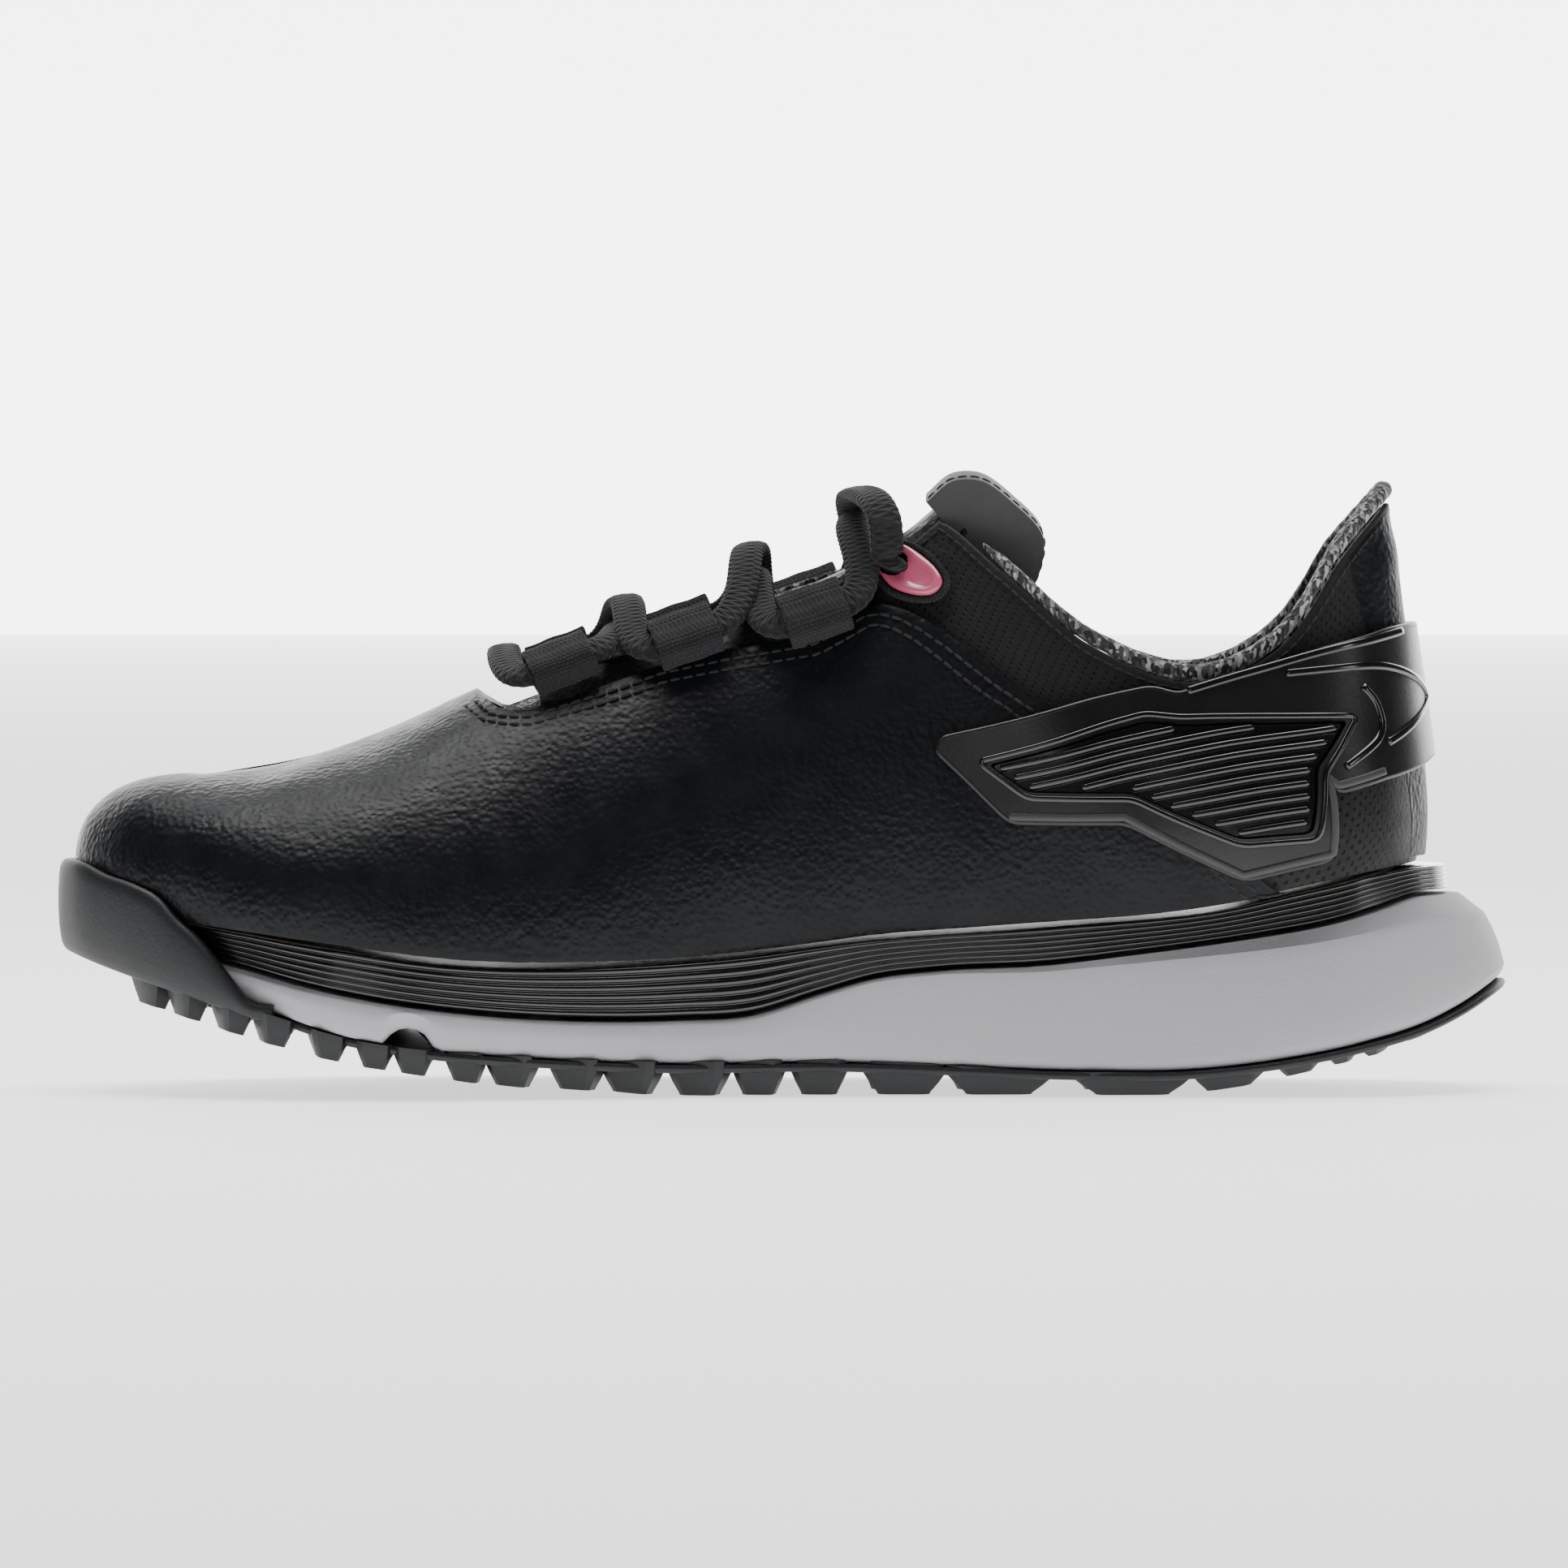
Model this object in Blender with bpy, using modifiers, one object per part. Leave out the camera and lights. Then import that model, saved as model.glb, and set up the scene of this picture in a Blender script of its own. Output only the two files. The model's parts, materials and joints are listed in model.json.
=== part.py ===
"""A spikeless golf shoe, right foot, women's US 8, as separate pieces.

The toe points to -X, the medial side faces -Y and the ground is z = 0. Lengths are in millimetres
until a mesh is made, which turns them into metres.

The upper is one loft round the foot. Its place along the loft is u: 0 at the toe, 1 at the heel,
2 at the toe again, with the medial side between 0 and 1. Its place up the loft is t: 0 at the
feather line, where the upper meets the sole, and 1 at the top line. Every layer of the upper is
that loft, moved in or out along its normals. The sole is a stack of rings round its plan outline.
"""

import math

import bmesh
import bpy
import numpy as np
from mathutils import Matrix, Vector

MM = 0.001
MEDIAL = -1
LATERAL = 1
SIDES = {"medial": MEDIAL, "lateral": LATERAL}

# Driving dimensions
# The lines below are drawn for DRAWN_SIZE; the finished shoe is stretched to LENGTH, WIDTH and HEIGHT
DRAWN_SIZE = (280.0, 99.0, 119.0)
LENGTH = 280.0
WIDTH = 99.0
HEIGHT = 119.0
GAP = 0.3
LAYER_GAP = 0.5
QUARTER_THICK = 1.0
VAMP_THICK = 1.1
STIFFENER_THICK = 0.9
LINING_THICK = 0.9
CAGE_THICK = 2.2
CAGE_HEEL_THICK = 1.6
COLLAR_FOAM = 4.0
COLLAR_ROLL = 3.2
BUMPER_WALL = 2.4
BUMPER_FOOT = 1.2
PLATE_THICK = 1.6
LUG_SINK = 0.8
BOARD_THICK = 1.8
SOCKLINER_THICK = 4.5
SHANK_SIZE = (86.0, 26.0, 1.6)
SHANK_CENTRE_X = 42.0
LACE_DIAMETER = 4.2
LACE_HOLE_RADIUS = 2.9
LACE_HIGH = 6.6
LACE_CLEAR = 0.8
LACE_TOP_RISE = 1.4
LOOP_LENGTH = 12.5
LOOP_HEIGHT = 11.0
LOOP_THICK = 6.8
LOOP_WALL = 0.8
THROAT_HALF_FRONT = 9.5
THROAT_HALF_TOP = 13.0
TONGUE_LAYERS = (1.1, 4.0, 0.8)
EYELET_THICK = 1.3
TONGUE_HINGE = (-56.0, 67.0)
TONGUE_ROWS = 11
TAB_HALF_WIDTH = 9.6

# Heights along the shoe, as (x, z) pairs
FEATHER_LINE = (
    (-140, 35.0), (-130, 35.0), (-114, 32.9), (-91, 29.7), (-62, 25.9), (-34, 25.4), (-11, 26.7),
    (16, 30.0), (52, 32.8), (83, 35.8), (105, 40.3), (127, 43.6), (140, 44.0),
)
BAND_LINE = (
    (-140, 31.0), (-122, 28.0), (-107, 24.9), (-91, 21.2), (-75, 18.2), (-58, 16.1), (-39, 14.8),
    (-20, 14.7), (-6, 15.5), (7, 19.5), (17, 22.4), (30, 24.0), (49, 25.0), (66, 27.0),
    (85, 29.5), (103, 32.2), (116, 34.9), (127, 37.4), (140, 38.0),
)
MIDSOLE_BOTTOM = (
    (-140, 29.0), (-131, 26.0), (-120, 22.6), (-108, 19.0), (-99, 16.2), (-84, 11.9), (-67, 9.3),
    (-54, 8.2), (-39, 7.2), (-24, 6.4), (13, 6.3), (30, 5.7), (57, 4.8), (77, 5.0), (87, 5.9),
    (99, 7.6), (111, 10.0), (124, 13.6), (131, 16.6), (140, 21.5),
)
LUG_TIPS = (
    (-140, 24.0), (-134, 21.6), (-125, 18.0), (-115, 15.2), (-101, 11.0), (-87, 7.4), (-80, 6.0),
    (-60, 3.0), (-50, 2.0), (-36, 1.2), (-22, 0.0), (74, 0.0), (86, 1.4), (98, 4.0), (113, 7.6),
    (128, 13.0), (137, 19.0),
)
FLAT_TREAD = (-22.0, 74.0)
BUMPER_TOP = (
    (-140, 44.6), (-137, 44.4), (-131, 42.0), (-125, 40.2), (-120, 37.6), (-117, 34.3),
    (-112, 30.0), (-107, 24.0), (-102, 17.8),
)

# Plan outline of the sole, as (x, medial half width, lateral half width), and its toe point
TOE_POINT = (-140.0, -9.0)
HEEL_POINT = (140.0, 0.0)
SOLE_OUTLINE = (
    (-137, 18.0, 1.0), (-128, 29.0, 16.0), (-114, 39.5, 31.0), (-98, 46.5, 41.5), (-80, 50.0, 48.0),
    (-60, 49.5, 50.0), (-38, 44.5, 48.5), (-10, 37.0, 43.0), (20, 34.5, 40.0), (60, 36.0, 38.0),
    (95, 37.5, 37.5), (115, 34.0, 34.0), (129, 25.5, 25.5), (137, 14.0, 14.0),
)

# The upper's loft: feather point on each side, top-line point, and the two handles between them.
# Every y is a distance outwards from the middle line of the upper.
UPPER_STATIONS = (
    # feather x, y medial, y lateral   top x, y, z        low handle        high handle
    ((-127.0, 14.0, -127.0, 12.5), (-113.3, 0.0, 59.3), (-4.6, 2.4, 12.0), (-13.0, 13.0, 0.5)),
    ((-116.0, 25.6, -116.0, 26.0), (-109.5, 0.0, 59.4), (-2.3, 3.2, 14.0), (-6.0, 19.0, 0.2)),
    ((-98.0, 38.5, -99.0, 37.0), (-98.5, 0.0, 61.0), (0.0, 3.8, 16.0), (-1.0, 24.0, 0.0)),
    ((-79.0, 44.5, -80.0, 44.5), (-81.0, 0.0, 65.8), (0.0, 3.5, 19.0), (0.0, 26.0, 0.0)),
    ((-58.0, 45.0, -60.0, 46.0), (-62.0, 0.0, 74.4), (0.0, 3.5, 22.0), (0.0, 26.0, 0.0)),
    ((-37.0, 41.0, -37.0, 44.5), (-41.0, 0.0, 83.4), (0.0, 4.5, 25.0), (0.0, 24.0, 0.0)),
    ((-10.0, 33.5, -10.0, 39.5), (-13.0, 0.0, 94.6), (0.0, 7.0, 27.0), (0.0, 21.0, -0.5)),
    ((18.0, 31.0, 18.0, 36.7), (12.0, 0.0, 106.0), (0.0, 7.0, 29.0), (0.0, 18.0, -1.0)),
    ((37.0, 31.7, 37.0, 35.7), (28.0, 11.5, 110.6), (0.0, 6.5, 28.0), (0.0, 9.0, -13.0)),
    ((53.0, 32.5, 53.0, 35.0), (41.5, 21.5, 100.4), (0.0, 5.5, 25.0), (0.0, 7.0, -17.0)),
    ((73.0, 33.3, 73.0, 34.2), (60.0, 27.0, 85.2), (0.0, 4.5, 19.0), (0.5, 4.5, -16.0)),
    ((94.0, 33.0, 94.0, 33.0), (80.0, 28.0, 79.0), (1.0, 4.0, 17.0), (1.5, 4.0, -13.0)),
    ((111.0, 27.5, 111.0, 27.5), (95.5, 24.5, 86.0), (2.5, 3.0, 19.0), (3.0, 3.5, -14.0)),
    ((120.0, 15.5, 120.0, 15.5), (107.5, 16.5, 102.4), (3.0, 1.5, 20.0), (1.5, 1.8, -16.0)),
)
UPPER_TOE = ((-132.8, 0.0, -132.8, 0.0), (-114.0, 0.0, 59.3), (-5.8, 0.0, 12.0), (-19.5, 0.0, 0.7))
UPPER_HEEL = ((122.5, 0.0, 122.5, 0.0), (117.4, 0.0, 113.2), (3.2, 0.0, 21.0), (-1.8, 0.0, -19.0))
MIDDLE_LINE = ((-140, -8.5), (-114, -6.5), (-80, -3.0), (-40, 0.0), (140, 0.0))

# Seam and edge lines of the upper, seen from the side, as (x, z) pairs
VAMP_EDGE = (
    (-61.5, 80.0), (-58.0, 75.0), (-54.0, 72.3), (-48.8, 72.2), (-36, 76.5), (-23.6, 80.9),
    (-11, 83.8), (5.3, 86.9), (15.2, 92.4), (19, 93.0), (23, 92.2), (27.3, 90.2), (33.8, 86.0),
    (42.4, 79.5), (51.3, 73.4), (74, 56.0), (92.7, 40.0), (97.5, 37.0),
)
CAGE_OUTLINE = (
    (29.4, 65.2), (30.8, 67.3), (50.0, 71.9), (70.3, 76.7), (75.1, 75.1), (90.0, 80.0),
    (104.0, 84.7), (114.0, 88.0),
)
CAGE_LOWER = (
    (113.0, 60.2), (105.0, 57.6), (103.4, 59.0), (103.6, 45.6), (87.6, 41.9), (65.5, 52.1),
    (43.5, 52.2),
)
CAGE_WINDOW = (
    (39.5, 62.6), (69.5, 70.6), (76.0, 69.8), (106.5, 70.5), (101.0, 61.5), (100.0, 50.0),
    (87.0, 49.0), (66.5, 57.2), (47.0, 57.6),
)
CAGE_HEEL_TOP = 89.0
CAGE_HEEL_LOW = 64.5
EYELET_OUTLINE = (
    (17.6, 100.6), (19.6, 103.9), (22.8, 104.3), (28.7, 100.8), (31.5, 97.6), (30.4, 95.3),
    (27.0, 95.0), (22.0, 96.6),
)
EYELET_HOLE = (21.6, 100.7)
LOOP_CENTRES = (-42.2, -18.7, 5.2)
CROWDING = 0.55
COLLAR_START_X = 38.0
FOOTBED_GAP = 0.9


def hermite(knots, values, at):
    """A smooth curve through the values at the knots, read at the given places."""
    knots = np.asarray(knots, float)
    values = np.asarray(values, float)
    slopes = np.gradient(values, knots, axis=0)
    at = np.clip(np.asarray(at, float), knots[0], knots[-1])
    i = np.clip(np.searchsorted(knots, at, side="right") - 1, 0, len(knots) - 2)
    span = knots[i + 1] - knots[i]
    s = (at - knots[i]) / span
    extra = (1,) * (values.ndim - 1)
    s = s.reshape(s.shape + extra)
    span = span.reshape(span.shape + extra)
    return (
        (2 * s**3 - 3 * s**2 + 1) * values[i]
        + (s**3 - 2 * s**2 + s) * span * slopes[i]
        + (3 * s**2 - 2 * s**3) * values[i + 1]
        + (s**3 - s**2) * span * slopes[i + 1]
    )


def height(line, x):
    """The height of a line of (x, z) pairs at x."""
    pairs = np.array(line, float)
    return hermite(pairs[:, 0], pairs[:, 1], x)


def straight(line, x):
    """As height, with straight runs between the pairs."""
    pairs = np.array(line, float)
    return np.interp(x, pairs[:, 0], pairs[:, 1])


def middle(x):
    return height(MIDDLE_LINE, x)


# The loft of the upper


def upper_controls():
    """Knots in u, and the four control points of the cross-line at each, as one closed round."""
    medial = [UPPER_TOE, *UPPER_STATIONS, UPPER_HEEL]
    rows = [(station, MEDIAL) for station in medial]
    rows += [(station, LATERAL) for station in medial[-2:0:-1]]
    controls = []
    for (feather, top, low, high), side in rows:
        column = 0 if side == MEDIAL else 2
        x, y = feather[column], feather[column + 1]
        foot = np.array([x, middle(x) + side * y, 0.0])
        foot[2] = height(FEATHER_LINE, x) + 0.8
        crown = np.array([top[0], middle(top[0]) + side * top[1], top[2]])
        outwards = np.array([1.0, side, 1.0])
        controls.append((foot, foot + low * outwards, crown + high * outwards, crown))
    controls = np.array(controls)
    half = len(medial) - 1
    step = np.linalg.norm(np.diff(controls[: half + 1, [0, 3]], axis=0), axis=2).mean(axis=1)
    first = np.concatenate([[0.0], np.cumsum(step)]) / step.sum()
    knots = np.concatenate([first, 2.0 - first[-2:0:-1]])
    knots = np.concatenate([knots[-3:] - 2.0, knots, knots[:3] + 2.0])
    controls = np.concatenate([controls[-3:], controls, controls[:3]])
    return knots, controls


KNOTS, CONTROLS = upper_controls()
SAMPLE_U = np.linspace(0.0, 2.0, 401)
SAMPLE_T = np.linspace(0.0, 1.0, 81)
RIDGE_T = 0.985


def loft(u, t):
    """Points of the upper's own surface."""
    u, t = np.broadcast_arrays(np.asarray(u, float) % 2.0, np.asarray(t, float))
    c = hermite(KNOTS, CONTROLS, u)
    s = t[..., None]
    return (
        c[..., 0, :] * (1 - s) ** 3
        + 3 * c[..., 1, :] * s * (1 - s) ** 2
        + 3 * c[..., 2, :] * s**2 * (1 - s)
        + c[..., 3, :] * s**3
    )


def loft_normal(u, t):
    """Outward normals; on the closed ridge over the instep both sides share one."""
    u, t = np.broadcast_arrays(np.asarray(u, float), np.asarray(t, float))
    inside = np.clip(t, 0.01, RIDGE_T)
    step = 0.004
    along = loft(u + step, inside) - loft(u - step, inside)
    up = loft(u, inside + 0.01) - loft(u, inside - 0.01)
    normal = np.cross(along, up)
    normal /= np.maximum(np.linalg.norm(normal, axis=-1, keepdims=True), 1e-9)
    top = loft(u, 1.0)
    on_ridge = (np.abs(top[..., 1] - middle(top[..., 0])) < 0.05) & (t > 0.999)
    normal[..., 1] = np.where(on_ridge, 0.0, normal[..., 1])
    return normal / np.linalg.norm(normal, axis=-1, keepdims=True)


def skin(u, t, out):
    """Points that stand this far out of the upper's surface."""
    out = np.asarray(out, float)
    return loft(u, t) + loft_normal(u, t) * out[..., None]


GRID = loft(SAMPLE_U[:, None], SAMPLE_T[None, :])


def column(u):
    """The cross-line at u, read off the sampled loft."""
    place = np.clip((u % 2.0) / 2.0 * (len(SAMPLE_U) - 1), 0, len(SAMPLE_U) - 1.001)
    i = int(place)
    return GRID[i] * (1 - place + i) + GRID[i + 1] * (place - i)


def t_at_height(u, z):
    line = column(u)
    return float(np.interp(z, line[:, 2], SAMPLE_T))


def t_at_edge(u, edge):
    """Where the cross-line meets a seam drawn from the side, or 1 where it stays below it."""
    line = column(u)
    above = line[:, 2] - straight(edge, line[:, 0])
    over = np.nonzero(above > 0)[0]
    if not len(over):
        return 1.0
    i = over[0]
    if i == 0:
        return 0.0
    share = above[i - 1] / (above[i - 1] - above[i])
    return float(SAMPLE_T[i - 1] + share * (SAMPLE_T[i] - SAMPLE_T[i - 1]))


def throat_half(x):
    return float(np.interp(x, (-58.0, 15.0), (THROAT_HALF_FRONT, THROAT_HALF_TOP)))


def t_at_throat(u):
    """The facing's edge over the instep; 1 at the toe and along the collar."""
    line = column(u)
    if not THROAT_FRONT_X < line[-1, 0] < THROAT_BACK_X:
        return 1.0
    out = np.abs(line[:, 1] - middle(line[:, 0]))[::-1]
    half = throat_half(line[-1, 0])
    front = min(1.0, (line[-1, 0] - THROAT_FRONT_X) / 7.0)
    half *= math.sqrt(max(0.0, 1 - (1 - front) ** 2))
    if out[0] >= half:
        return 1.0
    return float(np.interp(half, out, SAMPLE_T[::-1]))


def u_at(x, z, side=MEDIAL):
    """Where a point seen from the side lies round the loft."""
    us = SAMPLE_U[:201] if side == MEDIAL else SAMPLE_U[:199:-1]
    xs = []
    for u in us:
        line = column(u)
        xs.append(np.interp(z, line[:, 2], line[:, 0]))
    return float(np.interp(x, np.maximum.accumulate(xs), us))


THROAT_FRONT_X = VAMP_EDGE[0][0] + 1.5
THROAT_BACK_X = 40.0


# Making objects


def clear_scene():
    for thing in list(bpy.data.objects):
        bpy.data.objects.remove(thing, do_unlink=True)


def collection(name):
    made = bpy.data.collections.new(name)
    bpy.context.scene.collection.children.link(made)
    return made


def material(name, colour, roughness, metallic=0.0):
    made = bpy.data.materials.new(name)
    made.use_nodes = True
    shader = made.node_tree.nodes["Principled BSDF"]
    shader.inputs["Base Color"].default_value = (*colour, 1.0)
    shader.inputs["Roughness"].default_value = roughness
    shader.inputs["Metallic"].default_value = metallic
    return made


def add_mesh(name, points, faces, surface, where, smooth=True):
    """A new object from millimetre points, with doubled points merged and faces turned out."""
    mesh = bpy.data.meshes.new(name)
    mesh.from_pydata([Vector(p) * MM for p in points], [], faces)
    work = bmesh.new()
    work.from_mesh(mesh)
    bmesh.ops.remove_doubles(work, verts=work.verts, dist=0.02 * MM)
    bmesh.ops.dissolve_degenerate(work, edges=work.edges, dist=0.005 * MM)
    bmesh.ops.recalc_face_normals(work, faces=work.faces)
    work.to_mesh(mesh)
    work.free()
    if smooth:
        mesh.shade_smooth()
        mesh.set_sharp_from_angle(angle=math.radians(40))
    mesh.materials.append(surface)
    made = bpy.data.objects.new(name, mesh)
    where.objects.link(made)
    return made


def grid_faces(rows, columns, closed_rows=False):
    faces = []
    for i in range(rows if closed_rows else rows - 1):
        for j in range(columns - 1):
            a = i * columns + j
            b = (i + 1) % rows * columns + j
            faces.append((a, b, b + 1, a + 1))
    return faces


def panel(name, us, low, high, out, thick, steps, surface, where):
    """A layer of the upper between two edges, an open sheet that Solidify gives its thickness."""
    t = np.array([np.linspace(low(u), high(u), steps) for u in us])
    rows = np.array(us)[:, None]
    outs = np.broadcast_to(out(rows, t) if callable(out) else out, t.shape)
    points = skin(rows, t, outs).reshape(-1, 3)
    made = add_mesh(name, points, grid_faces(len(us), steps), surface, where)
    row = len(us) // 2
    outwards = Vector(loft_normal(us[row], float(t[row].mean())))
    near = Vector(skin(us[row], float(t[row].mean()), 0.0)) * MM
    face = min(made.data.polygons, key=lambda polygon: (polygon.center - near).length)
    if face.normal.dot(outwards) < 0:
        made.data.flip_normals()
    shell = made.modifiers.new("thickness", "SOLIDIFY")
    shell.thickness = thick * MM
    shell.offset = -1.0
    shell.use_even_offset = True
    return made


def section_loft(name, sections, surface, where, closed=False):
    """A solid from closed cross-sections with the same number of points."""
    sections = np.array(sections)
    count, size = sections.shape[:2]
    faces = []
    for i in range(count if closed else count - 1):
        for j in range(size):
            k = (j + 1) % size
            n = (i + 1) % count
            faces.append((i * size + j, i * size + k, n * size + k, n * size + j))
    if not closed:
        faces.append(tuple(range(size)))
        faces.append(tuple(range((count - 1) * size, count * size)))
    return add_mesh(name, sections.reshape(-1, 3), faces, surface, where)


def tube(name, points, diameter, surface, where):
    """A cord or binding: a poly curve with a round bevel and closed ends."""
    curve = bpy.data.curves.new(name, "CURVE")
    curve.dimensions = "3D"
    curve.bevel_depth = diameter / 2 * MM
    curve.bevel_resolution = 1
    curve.use_fill_caps = True
    line = curve.splines.new("POLY")
    line.points.add(len(points) - 1)
    for point, place in zip(line.points, points):
        point.co = (*(np.asarray(place) * MM), 1.0)
    curve.materials.append(surface)
    made = bpy.data.objects.new(name, curve)
    where.objects.link(made)
    return made


def boolean(target, cutter, operation):
    change = target.modifiers.new(operation.lower(), "BOOLEAN")
    change.operation = operation
    change.object = cutter
    change.solver = "EXACT"


def hide(cutter):
    cutter.hide_render = True
    cutter.display_type = "WIRE"


def even_route(points, step):
    """Points a step apart on the smooth curve through a route."""
    points = np.array(points, float)
    knots = np.concatenate([[0], np.cumsum(np.linalg.norm(np.diff(points, axis=0), axis=1))])
    dense = hermite(knots, points, np.linspace(0, knots[-1], 40 * len(points)))
    run = np.concatenate([[0], np.cumsum(np.linalg.norm(np.diff(dense, axis=0), axis=1))])
    wanted = np.linspace(0, run[-1], max(2, round(run[-1] / step)) + 1)
    return np.stack([np.interp(wanted, run, dense[:, k]) for k in range(3)], axis=1)


# The sole


def outline_halves(count):
    """The plan outline from toe to heel on each side, evenly spaced, as x and y."""
    halves = []
    for side, place in ((MEDIAL, 1), (LATERAL, 2)):
        run = [TOE_POINT] + [(row[0], side * row[place]) for row in SOLE_OUTLINE] + [HEEL_POINT]
        mirror = [(row[0], -side * row[3 - place]) for row in (SOLE_OUTLINE[1], SOLE_OUTLINE[0])]
        tail = [(row[0], -side * row[3 - place]) for row in SOLE_OUTLINE[:-3:-1]]
        full = np.array(mirror + run + tail, float)
        knots = np.concatenate([[0], np.cumsum(np.linalg.norm(np.diff(full, axis=0), axis=1))])
        start, end = knots[2], knots[-3]
        dense = hermite(knots, full, np.linspace(start, end, 600))
        run_length = np.concatenate([[0], np.cumsum(np.linalg.norm(np.diff(dense, axis=0), axis=1))])
        wanted = np.linspace(0, run_length[-1], count + 1)
        halves.append(np.stack([np.interp(wanted, run_length, dense[:, k]) for k in (0, 1)], axis=1))
    return halves


HALF_RING = 34
MEDIAL_HALF, LATERAL_HALF = outline_halves(HALF_RING)
OUTLINE = np.concatenate([MEDIAL_HALF, LATERAL_HALF[-2:0:-1]])


def outline_inwards():
    ahead = np.roll(OUTLINE, -1, axis=0) - np.roll(OUTLINE, 1, axis=0)
    ahead /= np.linalg.norm(ahead, axis=1, keepdims=True)
    return np.stack([-ahead[:, 1], ahead[:, 0]], axis=1)


INWARDS = outline_inwards()


def ring(inset, line):
    """The sole's outline moved inwards, at the heights of a line; both may be functions of x."""
    x = OUTLINE[:, 0]
    inset = inset(x) if callable(inset) else np.full(len(x), float(inset))
    z = line(x) if callable(line) else height(line, x)
    flat = OUTLINE + INWARDS * inset[:, None]
    return np.column_stack([flat, z])


def ring_faces(rings):
    """Walls between rings, and caps whose strips join the two sides."""
    n = len(OUTLINE)
    faces = []
    for k in range(rings - 1):
        for i in range(n):
            j = (i + 1) % n
            faces.append((k * n + i, k * n + j, (k + 1) * n + j, (k + 1) * n + i))
    for base in (0, (rings - 1) * n):
        faces.append((base, base + 1, base + n - 1))
        for i in range(1, n // 2 - 1):
            faces.append((base + i, base + i + 1, base + n - i - 1, base + n - i))
        faces.append((base + n // 2 - 1, base + n // 2, base + n // 2 + 1))
    return faces


def ring_solid(name, rings, surface, where):
    return add_mesh(name, np.concatenate(rings), ring_faces(len(rings)), surface, where)


def offset_line(line, by):
    return lambda x: height(line, x) + by


def wall_inset(x):
    """The midsole stands back behind the toe bumper and comes out to the outline behind it."""
    return np.interp(x, (-104.0, -86.0), (BUMPER_WALL + BUMPER_FOOT + 2 * GAP, 0.6))


def sole_pieces(parts, cutters, looks):
    plate_top = offset_line(MIDSOLE_BOTTOM, -GAP)
    plate_low = offset_line(MIDSOLE_BOTTOM, -GAP - PLATE_THICK)
    grey_rings = [
        ring(lambda x: wall_inset(x) + 2.5, lambda x: height(MIDSOLE_BOTTOM, x)),
        ring(wall_inset, lambda x: height(MIDSOLE_BOTTOM, x) + 1.5),
        ring(
            lambda x: wall_inset(x) + np.interp(x, (60, 134), (0.0, 4.5)),
            lambda x: height(BAND_LINE, x) - np.interp(x, (60, 134), (1.2, 3.2)),
        ),
        ring(
            lambda x: wall_inset(x) + 1.2 + np.interp(x, (60, 134), (0.0, 8.5)),
            offset_line(BAND_LINE, -GAP),
        ),
    ]
    midsole = ring_solid("midsole_lower", grey_rings, looks["midsole_grey"], parts)

    def band_out(x):
        return wall_inset(x) + np.interp(x, (60, 134), (0.6, 11.0))

    ring_solid(
        "midsole_upper",
        [
            ring(lambda x: band_out(x) + 1.2, offset_line(BAND_LINE, 2 * GAP)),
            ring(band_out, lambda x: height(BAND_LINE, x) + 1.0),
            ring(lambda x: band_out(x) + 0.4, lambda x: height(FEATHER_LINE, x) - 1.0),
            ring(lambda x: band_out(x) + 1.6, offset_line(FEATHER_LINE, -2 * GAP)),
        ],
        looks["midsole_black"],
        parts,
    )
    shank(parts, cutters, looks, midsole)
    plate = ring_solid(
        "outsole",
        [
            ring(lambda x: np.interp(x, (-120, -96), (1.0, 5.0)), plate_low),
            ring(lambda x: np.interp(x, (-120, -96), (0.2, 3.4)), plate_top),
        ],
        looks["outsole_rubber"],
        parts,
    )
    bumper = toe_bumper(cutters, looks)
    lugs = tread(cutters, looks)
    for extra in (bumper, lugs):
        boolean(plate, extra, "UNION")
        hide(extra)


def shank(parts, cutters, looks, midsole):
    """A stiff plate under the arch, in a pocket cut into the top of the grey midsole."""
    length, width, thick = SHANK_SIZE
    stretch = np.linspace(SHANK_CENTRE_X - length / 2, SHANK_CENTRE_X + length / 2, 9)

    def sections(grow, top_gap, depth):
        made = []
        for i, x in enumerate(stretch):
            end = {0: -grow, len(stretch) - 1: grow}.get(i, 0.0)
            top = height(BAND_LINE, x) - top_gap
            half = width / 2 + grow
            made.append(
                [(x + end, -half, top - depth), (x + end, half, top - depth), (x + end, half, top),
                 (x + end, -half, top)]
            )
        return made

    section_loft("shank_plate", sections(0.0, 2 * GAP, thick), looks["shank"], parts)
    pocket = section_loft("shank_pocket", sections(GAP, -4.0, thick + 4.0 + 3 * GAP), looks["shank"], cutters)
    boolean(midsole, pocket, "DIFFERENCE")
    hide(pocket)


def toe_bumper(cutters, looks):
    """The rubber wrapped up over the toe: a wall round the front of the sole's outline."""
    n = len(OUTLINE)
    reach = [k for k in range(-n // 2, n // 2) if OUTLINE[k % n][0] < -99.0]
    sections = []
    for k in reach:
        x = OUTLINE[k % n][0]
        low = float(height(MIDSOLE_BOTTOM, x)) - GAP - PLATE_THICK * 0.7
        high = max(float(height(BUMPER_TOP, x)), low + 2.0)
        levels = ((low, 1.0), (low + 0.5 * (high - low), 0.0), (high - 0.8, 0.5), (high, 1.2))
        back = BUMPER_WALL
        profile = [(z, inset) for z, inset in levels] + [(high - 0.4, back), (low, back + BUMPER_FOOT)]
        sections.append(
            [(*(OUTLINE[k % n] + INWARDS[k % n] * inset), z) for z, inset in profile]
        )
    return section_loft("bumper", sections, looks["outsole_rubber"], cutters)


def half_width(x, side):
    half = MEDIAL_HALF if side == MEDIAL else LATERAL_HALF
    return float(np.interp(x, half[:, 0], half[:, 1])) * side


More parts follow.
